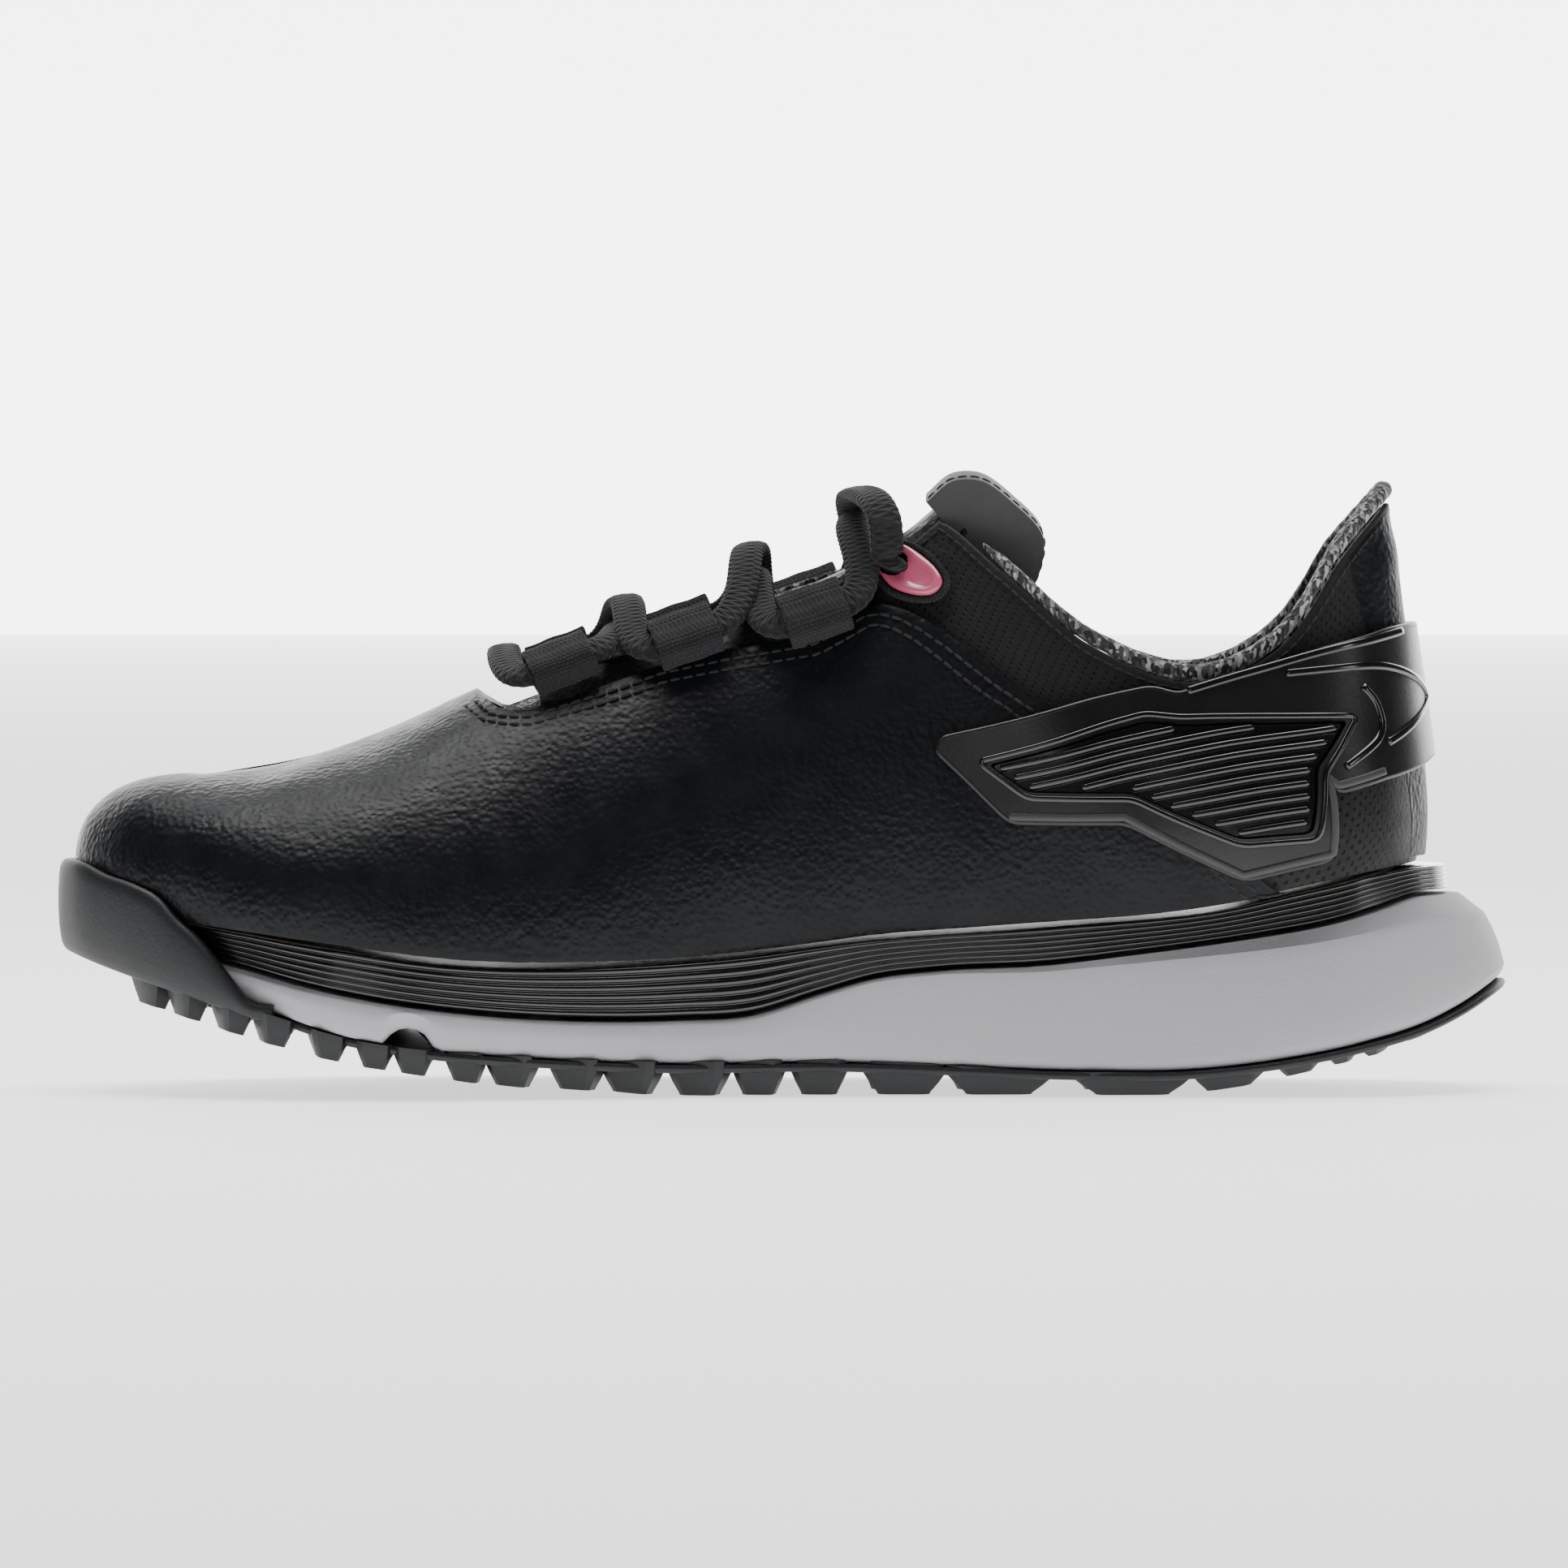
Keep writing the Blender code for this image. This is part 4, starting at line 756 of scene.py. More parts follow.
def perforation(tree):
    """1 in small holes, in staggered rows that follow the top edge, starting a little below it."""
    across, down = 1.95, 1.6
    uv = node(tree, "ShaderNodeUVMap", uv_map="UVMap").outputs["UV"]
    split = node(tree, "ShaderNodeSeparateXYZ")
    tree.links.new(uv, split.inputs[0])
    row = maths(tree, "DIVIDE", maths(tree, "MULTIPLY", split.outputs["Y"], 100.0), down)
    odd = maths(tree, "MODULO", maths(tree, "FLOOR", row), 2.0)
    column_at = maths(tree, "DIVIDE", maths(tree, "MULTIPLY", split.outputs["X"], 100.0), across)
    column_at = maths(tree, "ADD", column_at, maths(tree, "MULTIPLY", odd, 0.5))
    x = maths(tree, "MULTIPLY", maths(tree, "SUBTRACT", maths(tree, "FRACT", column_at), 0.5), across)
    y = maths(tree, "MULTIPLY", maths(tree, "SUBTRACT", maths(tree, "FRACT", row), 0.5), down)
    squares = maths(tree, "ADD", maths(tree, "MULTIPLY", x, x), maths(tree, "MULTIPLY", y, y))
    far = maths(tree, "SQRT", squares)
    hole = mapped(tree, far, 0.40, 0.27, 0.0, 1.0)
    field = mapped(tree, maths(tree, "MULTIPLY", split.outputs["Y"], 100.0), 3.6, 3.8, 0.0, 1.0)
    return maths(tree, "MULTIPLY", hole, field)


def knit_look():
    """Heather knit: rows of stitches in black, grey and pale yarn."""
    made, tree, base = shader("knit_heather", (0.05, 0.05, 0.052), 0.9)
    place = object_place(tree)
    stretch = node(tree, "ShaderNodeMapping")
    stretch.inputs["Scale"].default_value = (1.0, 1.0, 0.45)
    stretch.inputs["Rotation"].default_value = (0.0, math.radians(35), 0.0)
    tree.links.new(place, stretch.inputs["Vector"])
    yarn = voronoi(tree, stretch.outputs["Vector"], 1500.0, "F1", "Color")
    split = node(tree, "ShaderNodeSeparateColor")
    tree.links.new(yarn, split.inputs[0])
    ramp = node(tree, "ShaderNodeValToRGB")
    stops = ramp.color_ramp.elements
    stops[0].position, stops[0].color = 0.3, (0.008, 0.008, 0.009, 1)
    stops[1].position, stops[1].color = 0.95, (0.42, 0.42, 0.43, 1)
    middle_stop = stops.new(0.6)
    middle_stop.color = (0.07, 0.07, 0.075, 1)
    tree.links.new(split.outputs[0], ramp.inputs["Fac"])
    tree.links.new(ramp.outputs["Color"], base.inputs["Base Color"])
    loops = voronoi(tree, stretch.outputs["Vector"], 1500.0)
    fuzz = noise(tree, place, 2600.0, 2.0)
    tree.links.new(bump(tree, fuzz, 0.3, 0.0002, bump(tree, loops, 0.9, 0.0005)), base.inputs["Normal"])
    base.inputs["Sheen Weight"].default_value = 0.25
    return made


def textile_look(name, dark, light, along, across, strength=0.8):
    """Woven or braided textile, its threads running on the piece's own UVs."""
    made, tree, base = shader(name, dark, 0.85)
    uv = node(tree, "ShaderNodeUVMap", uv_map="UVMap").outputs["UV"]
    split = node(tree, "ShaderNodeSeparateXYZ")
    tree.links.new(uv, split.inputs[0])
    u = maths(tree, "MULTIPLY", split.outputs["X"], along)
    v = maths(tree, "MULTIPLY", split.outputs["Y"], across)
    one = maths(tree, "SINE", maths(tree, "ADD", u, v))
    two = maths(tree, "SINE", maths(tree, "SUBTRACT", u, v))
    weave = maths(tree, "MAXIMUM", one, two)
    place = object_place(tree)
    speck = noise(tree, place, 1400.0, 2.0)
    threads = maths(tree, "MULTIPLY", mapped(tree, weave, -1.0, 1.0, 0.0, 1.0), 0.6)
    shade = maths(tree, "ADD", threads, maths(tree, "MULTIPLY", speck, 0.5))
    tree.links.new(tint(tree, shade, dark, light), base.inputs["Base Color"])
    woven = bump(tree, weave, strength, 0.0003)
    tree.links.new(bump(tree, speck, 0.25, 0.0002, woven), base.inputs["Normal"])
    base.inputs["Sheen Weight"].default_value = 0.05
    return made


def suede_look():
    made, tree, base = shader("suede", (0.045, 0.045, 0.047), 0.95)
    place = object_place(tree)
    nap = noise(tree, place, 900.0, 6.0, 0.7)
    brushed = noise(tree, place, 60.0, 3.0)
    tree.links.new(tint(tree, brushed, (0.035, 0.035, 0.037), (0.07, 0.07, 0.072)), base.inputs["Base Color"])
    tree.links.new(bump(tree, nap, 0.5, 0.0003), base.inputs["Normal"])
    base.inputs["Sheen Weight"].default_value = 0.5
    return made


def moulded_look(name, colour, light, roughness, grain_scale, grain, coat=0.0):
    """A moulded plastic, foam or rubber: fine texture, slight flow marks and scuffs."""
    made, tree, base = shader(name, colour, roughness)
    place = object_place(tree)
    fine = noise(tree, place, grain_scale, 4.0, 0.6)
    broad = noise(tree, place, 18.0, 3.0)
    tree.links.new(tint(tree, broad, colour, light), base.inputs["Base Color"])
    rough = mapped(tree, broad, 0.3, 0.7, roughness - 0.04, roughness + 0.06)
    tree.links.new(rough, base.inputs["Roughness"])
    tree.links.new(bump(tree, fine, grain, 0.0004), base.inputs["Normal"])
    base.inputs["Coat Weight"].default_value = coat
    base.inputs["Coat Roughness"].default_value = 0.12
    return made


def make_looks():
    return {
        "leather": leather_look(
            "leather_full_grain", (0.0028, 0.0033, 0.0042), (0.0045, 0.0052, 0.0065), 0.4
        ),
        "leather_perforated": leather_look(
            "leather_punched", (0.011, 0.011, 0.0115), (0.015, 0.015, 0.0155), 0.5, 0.5, True
        ),
        "knit": knit_look(),
        "lace": textile_look("braid", (0.0015, 0.0015, 0.0017), (0.006, 0.006, 0.007), 420.0, 31.4),
        "webbing": textile_look(
            "webbing_rib", (0.002, 0.002, 0.0024), (0.008, 0.0085, 0.0105), 700.0, 120.0, 0.5
        ),
        "thread": textile_look("thread", (0.006, 0.006, 0.006), (0.016, 0.016, 0.018), 200.0, 20.0, 0.2),
        "suede": suede_look(),
        "foam": moulded_look("foam_pale", (0.28, 0.28, 0.26), (0.34, 0.34, 0.32), 0.95, 900.0, 0.6),
        "stiffener": moulded_look(
            "stiffener_sheet", (0.2, 0.19, 0.17), (0.24, 0.23, 0.2), 0.8, 400.0, 0.3
        ),
        "cage": moulded_look(
            "cage_tpu", (0.003, 0.003, 0.0033), (0.005, 0.005, 0.0055), 0.34, 1200.0, 0.12
        ),
        "cage_pale": moulded_look(
            "cage_rim", (0.03, 0.031, 0.033), (0.038, 0.039, 0.041), 0.5, 1200.0, 0.1
        ),
        "rib": moulded_look(
            "rib_tpu", (0.002, 0.002, 0.0022), (0.0035, 0.0035, 0.004), 0.2, 900.0, 0.03, 0.6
        ),
        "eyelet": moulded_look(
            "eyelet_pink", (0.52, 0.09, 0.17), (0.6, 0.12, 0.21), 0.22, 500.0, 0.02, 0.7
        ),
        "midsole_grey": moulded_look(
            "eva_grey", (0.40, 0.40, 0.42), (0.44, 0.44, 0.46), 0.62, 1300.0, 0.35
        ),
        "midsole_black": moulded_look(
            "band_black", (0.002, 0.002, 0.0022), (0.0035, 0.0035, 0.004), 0.2, 700.0, 0.03, 0.7
        ),
        "outsole_rubber": moulded_look(
            "rubber_black", (0.004, 0.0048, 0.006), (0.007, 0.008, 0.0095), 0.5, 1500.0, 0.2
        ),
        "shank": moulded_look("shank_plastic", (0.05, 0.05, 0.05), (0.06, 0.06, 0.06), 0.4, 500.0, 0.1),
        "board": moulded_look("fibre_board", (0.3, 0.25, 0.18), (0.35, 0.3, 0.22), 0.9, 700.0, 0.5),
        "sockliner_fabric": textile_look(
            "sockliner_knit", (0.02, 0.02, 0.021), (0.08, 0.08, 0.085), 900.0, 300.0, 0.4
        ),
    }


LOOKS = make_looks()


# The upper


THROAT_FRONT_U = ridge_u(THROAT_FRONT_X)
COLLAR_START_U = ridge_u(COLLAR_START_X)


def foam_depth(u, t):
    """How deep the lining stands inside the quarters: foam thickens it round the ankle."""
    u = np.asarray(u, float) % 2.0
    round_ankle = np.clip((np.abs(u - 1.0) - 0.36) / -0.06, 0, 1)
    round_ankle *= np.clip((np.abs(u - 1.0) - 0.02) / 0.05, 0.55, 1)
    rise = np.clip((t - 0.58) / 0.14, 0, 1)
    return COLLAR_FOAM * round_ankle * rise * rise * (3 - 2 * rise)


def lining_out(u, t):
    return -(QUARTER_THICK + 2 * LAYER_GAP + STIFFENER_THICK) - foam_depth(u, t)


def lining_top(u):
    under_collar = COLLAR_START_U < u % 2.0 < 2.0 - COLLAR_START_U
    return min(t_at_throat(u % 2.0), 0.97 if under_collar else 1.0)


def surface_frame(u, t, out):
    """A place on the upper with its three directions: along the shoe, up the upper, outwards."""
    place = skin(u, t, out)
    normal = loft_normal(u, t)
    along = loft(u + 0.01, t) - loft(u - 0.01, t)
    along -= normal * along.dot(normal)
    along /= np.linalg.norm(along)
    if along[0] < 0:
        along = -along
    up = np.cross(normal, along)
    if up[2] < 0:
        up = -up
    return place, along, up, normal


def side_frame(x, z, side, out):
    u = u_at(x, z, side)
    return surface_frame(u, t_at_height(u, z), out)


def inset_line(us, ts, inwards, out):
    """A line on the upper a distance inside an edge, with its outward directions."""
    edge = np.array([loft(u, t) for u, t in zip(us, ts)])
    ahead = np.gradient(edge, axis=0)
    ahead /= np.linalg.norm(ahead, axis=1, keepdims=True)
    line, normals = [], []
    for u, t, direction in zip(us, ts, ahead):
        normal = loft_normal(u, t)
        aside = np.cross(direction, normal)
        by_u = (loft(u + 0.004, t) - loft(u - 0.004, t)) / 0.008
        by_t = (loft(u, min(t + 0.004, 1.0)) - loft(u, t - 0.004)) / (min(t + 0.004, 1.0) - t + 0.004)
        if aside.dot(by_t) > 0:
            aside = -aside
        step = np.linalg.lstsq(np.stack([by_u, by_t], axis=1), aside * inwards, rcond=None)[0]
        u, t = u + step[0], float(np.clip(t + step[1], 0.0, 1.0))
        line.append(skin(u, t, out))
        normals.append(loft_normal(u, t))
    return np.array(line), np.array(normals)


def folds(u, t):
    """Soft unevenness of leather pulled over a last, in millimetres."""
    return 0.16 * np.sin(31 * u + 5 * t) * np.sin(9 * t + 13 * u) + 0.1 * np.sin(67 * u - 11 * t)


def punch(made, frame, radius):
    """A round hole through a piece, along the frame's outward direction."""
    place, along, up, normal = frame
    work = bmesh.new()
    bmesh.ops.create_cone(
        work, cap_ends=True, segments=40, radius1=radius * MM, radius2=radius * MM, depth=24 * MM
    )
    mesh = bpy.data.meshes.new("hole")
    work.to_mesh(mesh)
    work.free()
    cutter = placed("hole", mesh)
    turn = Matrix([list(v) for v in zip(along, up, normal)])
    cutter.matrix_world = Matrix.Translation(Vector(place) * MM) @ turn.to_4x4()
    change = made.modifiers.new("punch", "BOOLEAN")
    change.object = cutter
    change.solver = "EXACT"
    bpy.context.view_layer.update()
    graph = bpy.context.evaluated_depsgraph_get()
    baked = bpy.data.meshes.new_from_object(made.evaluated_get(graph))
    made.modifiers.clear()
    made.data = baked
    bpy.data.objects.remove(cutter)


def backstay_out(u, t):
    """The heel's outer leather swells out of the quarters, with no edge to be seen."""
    aside = np.clip((0.06 - np.abs(u - 1.0)) / 0.045, 0, 1)
    below = np.clip((0.985 - t) / 0.16, 0, 1)
    swell = aside * aside * (3 - 2 * aside) * below * below * (3 - 2 * below)
    return -0.15 + (LAYER_GAP + STIFFENER_THICK + 0.15) * swell


def upper():
    front = THROAT_FRONT_U
    toe_side = span(front, u_at(97.0, 38.0), 110)
    us = [-u for u in reversed(toe_side)] + span(-front, front, 60)[1:-1] + toe_side
    panel(
        "vamp_leather", us, lambda u: 0.0,
        lambda u: t_at_edge(u, VAMP_EDGE) if abs(u) > front else 1.0,
        lambda u, t: LAYER_GAP + VAMP_THICK + folds(u, t), VAMP_THICK, 40, "shoe", ("vamp",),
        "leather",
    )
    for side_name, side in SIDES.items():
        line_us = np.array(toe_side[2:-1]) * (1 if side == MEDIAL else -1)
        line_ts = np.array([t_at_edge(u, VAMP_EDGE) for u in line_us])
        for number, inwards in ((1, 2.2), (2, 4.3)):
            line, normals = inset_line(line_us, line_ts, inwards, LAYER_GAP + VAMP_THICK + 0.12)
            stitches(
                f"vamp_stitches_{side_name}_{number}", line, normals, 2.2, 2.5, 0.62
            )
    knit = panel(
        "lining_knit", span(0.0, 2.0, 200), lambda u: 0.0, lining_top, lining_out, LINING_THICK, 20,
        "shoe", ("lining",), "knit", edge=0.0,
    )
    tuck = 0.13
    for name, side in SIDES.items():
        us = span(front + 0.045, 1.0 - 0.006, 150)
        if side == LATERAL:
            us = [2.0 - u for u in us]
        quarter = panel(
            f"quarter_{name}_leather", us,
            lambda u: max(0.0, t_at_edge(u, VAMP_EDGE) - tuck) if t_at_edge(u, VAMP_EDGE) < 1 else 0.0,
            t_at_throat, -0.2, QUARTER_THICK, 30, "shoe", (f"quarter_{name}",),
            "leather_perforated", edge=0.3,
        )
        eyelet(name, side, quarter, knit)
        top = [t_at_throat(u) - 0.002 for u in us]
        line, normals = inset_line(np.array(us), np.array(top), 1.6, 0.0)
        keep = np.arange(3, len(line) - 6)
        stitches(f"edge_stitches_{name}", line[keep], normals[keep], 1.9, 2.3, 0.5)
    panel(
        "backstay_leather", span(0.94, 1.06, 40), lambda u: 0.02, lambda u: 0.985, backstay_out,
        STIFFENER_THICK, 50, "shoe", ("backstay",), "leather",
    )
    collar()


def collar():
    """The knit rolled outwards over the padded collar's edge."""
    points, uvs = [], []
    sides = 18
    us = span(COLLAR_START_U, 2.0 - COLLAR_START_U, 260)
    for k, u in enumerate(us):
        crown = loft(u, 1.0)
        rise = loft(u, 1.0) - loft(u, 0.97)
        rise /= np.linalg.norm(rise)
        out = loft_normal(u, 1.0)
        fade = min(1.0, min(k, len(us) - 1 - k) / 6 + 0.35)
        centre = crown + rise * (GAP + COLLAR_ROLL / 2 + 0.4) - out * (COLLAR_ROLL / 2 + 0.2)
        for j in range(sides):
            a = 2 * math.pi * j / sides
            radius = COLLAR_ROLL / 2 * (1 + 0.1 * math.cos(a * 2)) * fade
            radius += 0.07 * math.sin(k * 0.9 + 5 * a)
            points.append(centre + radius * (math.cos(a) * out * 1.05 + math.sin(a) * rise * 1.15))
            uvs.append((k * 1.2 / 100, j / sides))
    faces = grid_faces(len(us), sides, closed_columns=True)
    faces += end_caps(len(us), sides)
    piece("collar_knit", points, faces, "shoe", ("collar_binding",), "knit", uvs)


def eyelet(name, side, quarter, knit):
    """A moulded insert round the top lace hole, the stitching round it and the hole through it."""
    x, z = EYELET_HOLE
    place, along, up, normal = side_frame(x, z, side, GAP)
    ring_line = []
    for px, pz in EYELET_OUTLINE:
        across = (px - x) / max(abs(along[0]), 0.5)
        ring_line.append((across, (pz - z - along[2] * across) / up[2]))
    loop = ring_line + ring_line[:1]
    smooth = hermite(np.arange(len(loop)), np.array(loop), np.linspace(0, len(loop) - 1, 200))
    rim = evened([(*p, 0.0) for p in smooth], 0.35)[:-1]
    count = len(rim)
    points, centre = [], rim.mean(axis=0)
    levels = ((0.0, 0.2), (0.0, 0.9), (0.35, 1.3), (0.9, 1.42), (1.7, 1.3), (2.4, 0.95), (3.3, 0.85))
    for inset, rise in levels:
        for p in rim:
            inwards = centre - p
            far = np.linalg.norm(inwards)
            p = p + inwards / far * min(inset, far - 0.2)
            points.append(place + along * p[0] + up * p[1] + normal * (rise + 0.3))
    faces = grid_faces(len(levels), count, closed_columns=True)
    faces += end_caps(len(levels), count)
    insert = piece(
        f"eyelet_{name}_insert", points, faces, "shoe", (f"eyelet_{name}",), "eyelet"
    )
    frame = (place, along, up, normal)
    for holed in (insert, quarter, knit):
        punch(holed, frame, LACE_HOLE_RADIUS)
    sharpen(insert, 45)
    outline = []
    for p in rim:
        away = p - centre
        outline.append(p + away / np.linalg.norm(away) * 0.9)
    outline.append(outline[0])
    line = np.array([place + along * p[0] + up * p[1] + normal * 0.15 for p in outline])
    stitches(f"eyelet_stitches_{name}", line, np.tile(normal, (len(line), 1)), 0.7, 0.62, 1.5)


# The sole


def wall_inset(x):
    """The midsole stands back behind the toe bumper and comes out to the outline behind it."""
    return np.interp(x, (-104.0, -86.0), (BUMPER_WALL + BUMPER_FOOT + 2 * GAP, 0.6))


def ring_piece(name, rings, nodes, look):
    return piece(name, np.concatenate(rings), ring_faces(len(rings)), "shoe", nodes, look)


def half_width(x, side):
    half = MEDIAL_HALF if side == MEDIAL else LATERAL_HALF
    return float(np.interp(x, half[:, 0], half[:, 1])) * side


def midsole():
    """The grey foam: rounded at the foot, with a crease and a chamfer rising to the heel."""

    def crease(x):
        return height(BAND_LINE, x) - np.interp(x, (30, 60, 134), (0.9, 1.6, 3.8))

    def bottom(x):
        notch = np.clip(1 - ((x + 71.0) / 4.6) ** 2, 0, 1) ** 0.5
        return height(MIDSOLE_BOTTOM, x) + 3.6 * notch

    profile = []
    for inset, rise in ((6.0, 0.0), (2.6, 0.0), (1.5, 0.25), (0.8, 0.75), (0.3, 1.5), (0.0, 2.6)):
        profile.append((lambda x, i=inset: wall_inset(x) + i, lambda x, r=rise: bottom(x) + r))
    for share in (0.3, 0.5, 0.7, 0.85, 0.95):
        profile.append(
            (
                lambda x, s=share: wall_inset(x) + np.interp(x, (60, 134), (0.0, 4.0)) * s
                - 0.5 * math.sin(math.pi * s),
                lambda x, s=share: bottom(x) + 2.6 + (crease(x) - bottom(x) - 2.6) * s,
            )
        )
    for share in (0.0, 0.12, 0.5, 0.88, 1.0):
        profile.append(
            (
                lambda x, s=share: wall_inset(x) + np.interp(x, (60, 134), (0.1, 4.2))
                + np.interp(x, (60, 134), (1.1, 4.6)) * s,
                lambda x, s=share: crease(x) + (height(BAND_LINE, x) - GAP - crease(x)) * s,
            )
        )
    profile.append((lambda x: wall_inset(x) + 12.0, offset_line(BAND_LINE, -GAP)))
    made = ring_piece(
        "midsole_foam", [ring(i, z) for i, z in profile], ("midsole_lower",),
        "midsole_grey",
    )
    sharpen(made, 28)


def band():
    """The glossy black band: six rounded ribs, one above another, all round the shoe."""
    ribs, steps = 6, 8

    def band_out(x):
        return wall_inset(x) + np.interp(x, (60, 134), (0.6, 11.0))

    rings = []
    for k in range(ribs * steps + 1):
        share = k / (ribs * steps)
        groove = abs(math.cos(math.pi * share * ribs)) ** 6
        edge = 0.7 if k in (0, ribs * steps) else 0.0
        rings.append(
            ring(
                lambda x, s=share, g=groove, e=edge: band_out(x) + 0.55 * g + e + 0.5 * s,
                lambda x, s=share: height(BAND_LINE, x) + 2 * GAP
                + (height(FEATHER_LINE, x) - height(BAND_LINE, x) - 4 * GAP) * s,
            )
        )
    low = ring(lambda x: band_out(x) + 6.0, offset_line(BAND_LINE, 2 * GAP))
    high = ring(lambda x: band_out(x) + 6.0, offset_line(FEATHER_LINE, -2 * GAP))
    ring_piece(
        "midsole_band", [low] + rings + [high], ("midsole_upper",),
        "midsole_black",
    )


def plate():
    top, low = offset_line(MIDSOLE_BOTTOM, -GAP), offset_line(MIDSOLE_BOTTOM, -GAP - PLATE_THICK)

    def wide(x):
        return np.interp(x, (-120, -96, -60), (1.0, 5.0, 0.4))

    rings = [
        ring(lambda x: wide(x) + 2.0, low),
        ring(lambda x: wide(x) + 0.7, lambda x: low(x) + 0.05),
        ring(lambda x: wide(x) + 0.2, lambda x: low(x) + 0.4),
        ring(wide, lambda x: low(x) + 0.9),
        ring(lambda x: wide(x) + 0.2, lambda x: top(x) - 0.2),
        ring(lambda x: wide(x) + 0.6, top),
        ring(lambda x: wide(x) + 3.0, top),
    ]
    ring_piece("outsole_plate", rings, ("outsole",), "outsole_rubber")


def bumper():
    """The rubber wrapped up over the toe: a smooth wall that falls away along the sole."""
    n = len(OUTLINE)
    reach = [k for k in range(-n // 2, n // 2) if OUTLINE[k % n][0] < BUMPER_END_X]
    levels = (
        (0.0, 1.6), (0.03, 1.1), (0.1, 0.6), (0.25, 0.2), (0.45, 0.0), (0.65, 0.0), (0.82, 0.15),
        (0.91, 0.35), (0.965, 0.75), (0.99, 1.2), (1.0, 1.7),
    )
    points = []
    for k in reach:
        x = OUTLINE[k % n][0]
        low = float(height(MIDSOLE_BOTTOM, x)) - GAP - PLATE_THICK
        high = max(float(height(BUMPER_TOP, x)), low + 1.2)
        fade = float(np.clip((BUMPER_END_X - x) / 6.0, 0.15, 1.0))
        back = BUMPER_WALL + BUMPER_FOOT * 0.5
        profile = [(low + (high - low) * s, i + (1 - fade) * 2.0) for s, i in levels]
        profile += [(high - 0.5, max(back, 2.3)), (low, back + 0.6)]
        for z, inset in profile:
            points.append((*(OUTLINE[k % n] + INWARDS[k % n] * inset), z))
    size = len(levels) + 2
    faces = grid_faces(len(reach), size, closed_columns=True)
    faces += end_caps(len(reach), size)
    made = piece(
        "toe_bumper", points, faces, "shoe", (), "outsole_rubber"
    )
    sharpen(made, 50)


def lug(points, faces, x, y, half_x, half_y, tip_share, turn, reach=0.0):
    """One tapered, rounded foot of the tread, its root sunk in the plate."""
    tip = float(straight(LUG_TIPS, x)) + reach
    base = len(points)
    levels = ((-0.6, 1.0), (0.0, 0.98), (0.4, 0.84), (0.88, 0.64), (0.97, tip_share), (1.0, tip_share - 0.08))
    corner = ((-1, -0.72), (-0.72, -1), (0.72, -1), (1, -0.72), (1, 0.72), (0.72, 1), (-0.72, 1), (-1, 0.72))
    c, s = math.cos(turn), math.sin(turn)
    for level, share in levels:
        for dx, dy in corner:
            ax, ay = dx * half_x * share, dy * half_y * share
            px, py = x + ax * c - ay * s, y + ax * s + ay * c
            root = float(height(MIDSOLE_BOTTOM, px)) - GAP - PLATE_THICK
            flat = FLAT_TREAD[0] <= x <= FLAT_TREAD[1]
            low = tip if flat else float(straight(LUG_TIPS, px)) + reach
            points.append((px, py, root + 0.1 + (low - root - 0.1) * max(level, -0.5)))
    size = len(corner)
    for k in range(len(levels) - 1):
        for a in range(size):
            b = (a + 1) % size
            this, following = base + k * size, base + (k + 1) * size
            faces.append((this + a, this + b, following + b, following + a))
    faces.append(tuple(base + a for a in range(size))[::-1])
    faces.append(tuple(base + (len(levels) - 1) * size + a for a in range(size)))


SIDE_LUGS = (
    # middle and half width, in millimetres along the shoe, of each lug at the sole's edge
    (-121.0, 2.6), (-114.0, 2.8), (-105.5, 3.0), (-97.5, 3.2), (-87.0, 3.3), (-78.0, 3.4),
    (-70.5, 3.6), (-60.5, 3.6), (-51.7, 4.6), (-39.4, 4.8), (-28.9, 5.4), (-16.1, 5.6),
    (-4.7, 4.8), (6.8, 5.4), (22.9, 8.0), (41.0, 10.0), (66.5, 11.2), (85.0, 6.8),
    (98.6, 3.9), (107.0, 2.2), (113.5, 1.8), (122.0, 1.9),
)


def lugs():
    points, faces = [], []
    for side in (MEDIAL, LATERAL):
        for x, half in SIDE_LUGS:
            width = abs(half_width(x, side))
            if x < -117 or x > 118:
                width -= 2.0
            y = side * (width - 6.0)
            slope = half_width(x + 4, side) - half_width(x - 4, side)
            lug(points, faces, x, y, half, 4.6, 0.62, math.atan2(slope, 8.0))
    for x, half in SIDE_LUGS[1:-1]:
        left, right = abs(half_width(x, MEDIAL)), abs(half_width(x, LATERAL))
        inner = left + right - 25.0
        across = max(1, round(inner / 15.5))
        shifts = (0.0,) if half < 7 else (-half / 2, half / 2)
        for k in range(across):
            y = -left + 12.5 + inner * (k + 0.5) / across
            for shift in shifts:
                size = half if half < 7 else half / 2 - 0.6
                turn = math.radians(8.0 if k % 2 else -8.0)
                lug(points, faces, x + shift, y, size * 0.92, 4.4, 0.6, turn, 0.3)
    made = piece("tread_lugs", points, faces, "shoe", (), "outsole_rubber", weld=0)
    sharpen(made, 30)


def sole():
    midsole()
    band()
    plate()
    bumper()
    lugs()


# The cage: flat lines wrapped onto the upper, w a length round the heel and z a height

ROUND = 300.0


def flat_place(x, z, side=MEDIAL):
    return ((u_at(x, z, side) - 1.0) * ROUND, z)


def over_vamp(u):
    """1 where the cage lies on the vamp, falling to 0 round the heel, where it lies closer."""
    return float(np.clip((abs(u - 1.0) - 0.10) / 0.06, 0.0, 1.0))


def cage_inner(u):
    return 2 * LAYER_GAP + STIFFENER_THICK + (VAMP_THICK - STIFFENER_THICK) * over_vamp(u)


def cage_outer(u):
    return cage_inner(u) + CAGE_HEEL_THICK + (CAGE_THICK - CAGE_HEEL_THICK) * over_vamp(u)


def wrap_place(w, z, out):
    u = 1.0 + w / ROUND
    return skin(u, t_at_height(u % 2.0, z), out)


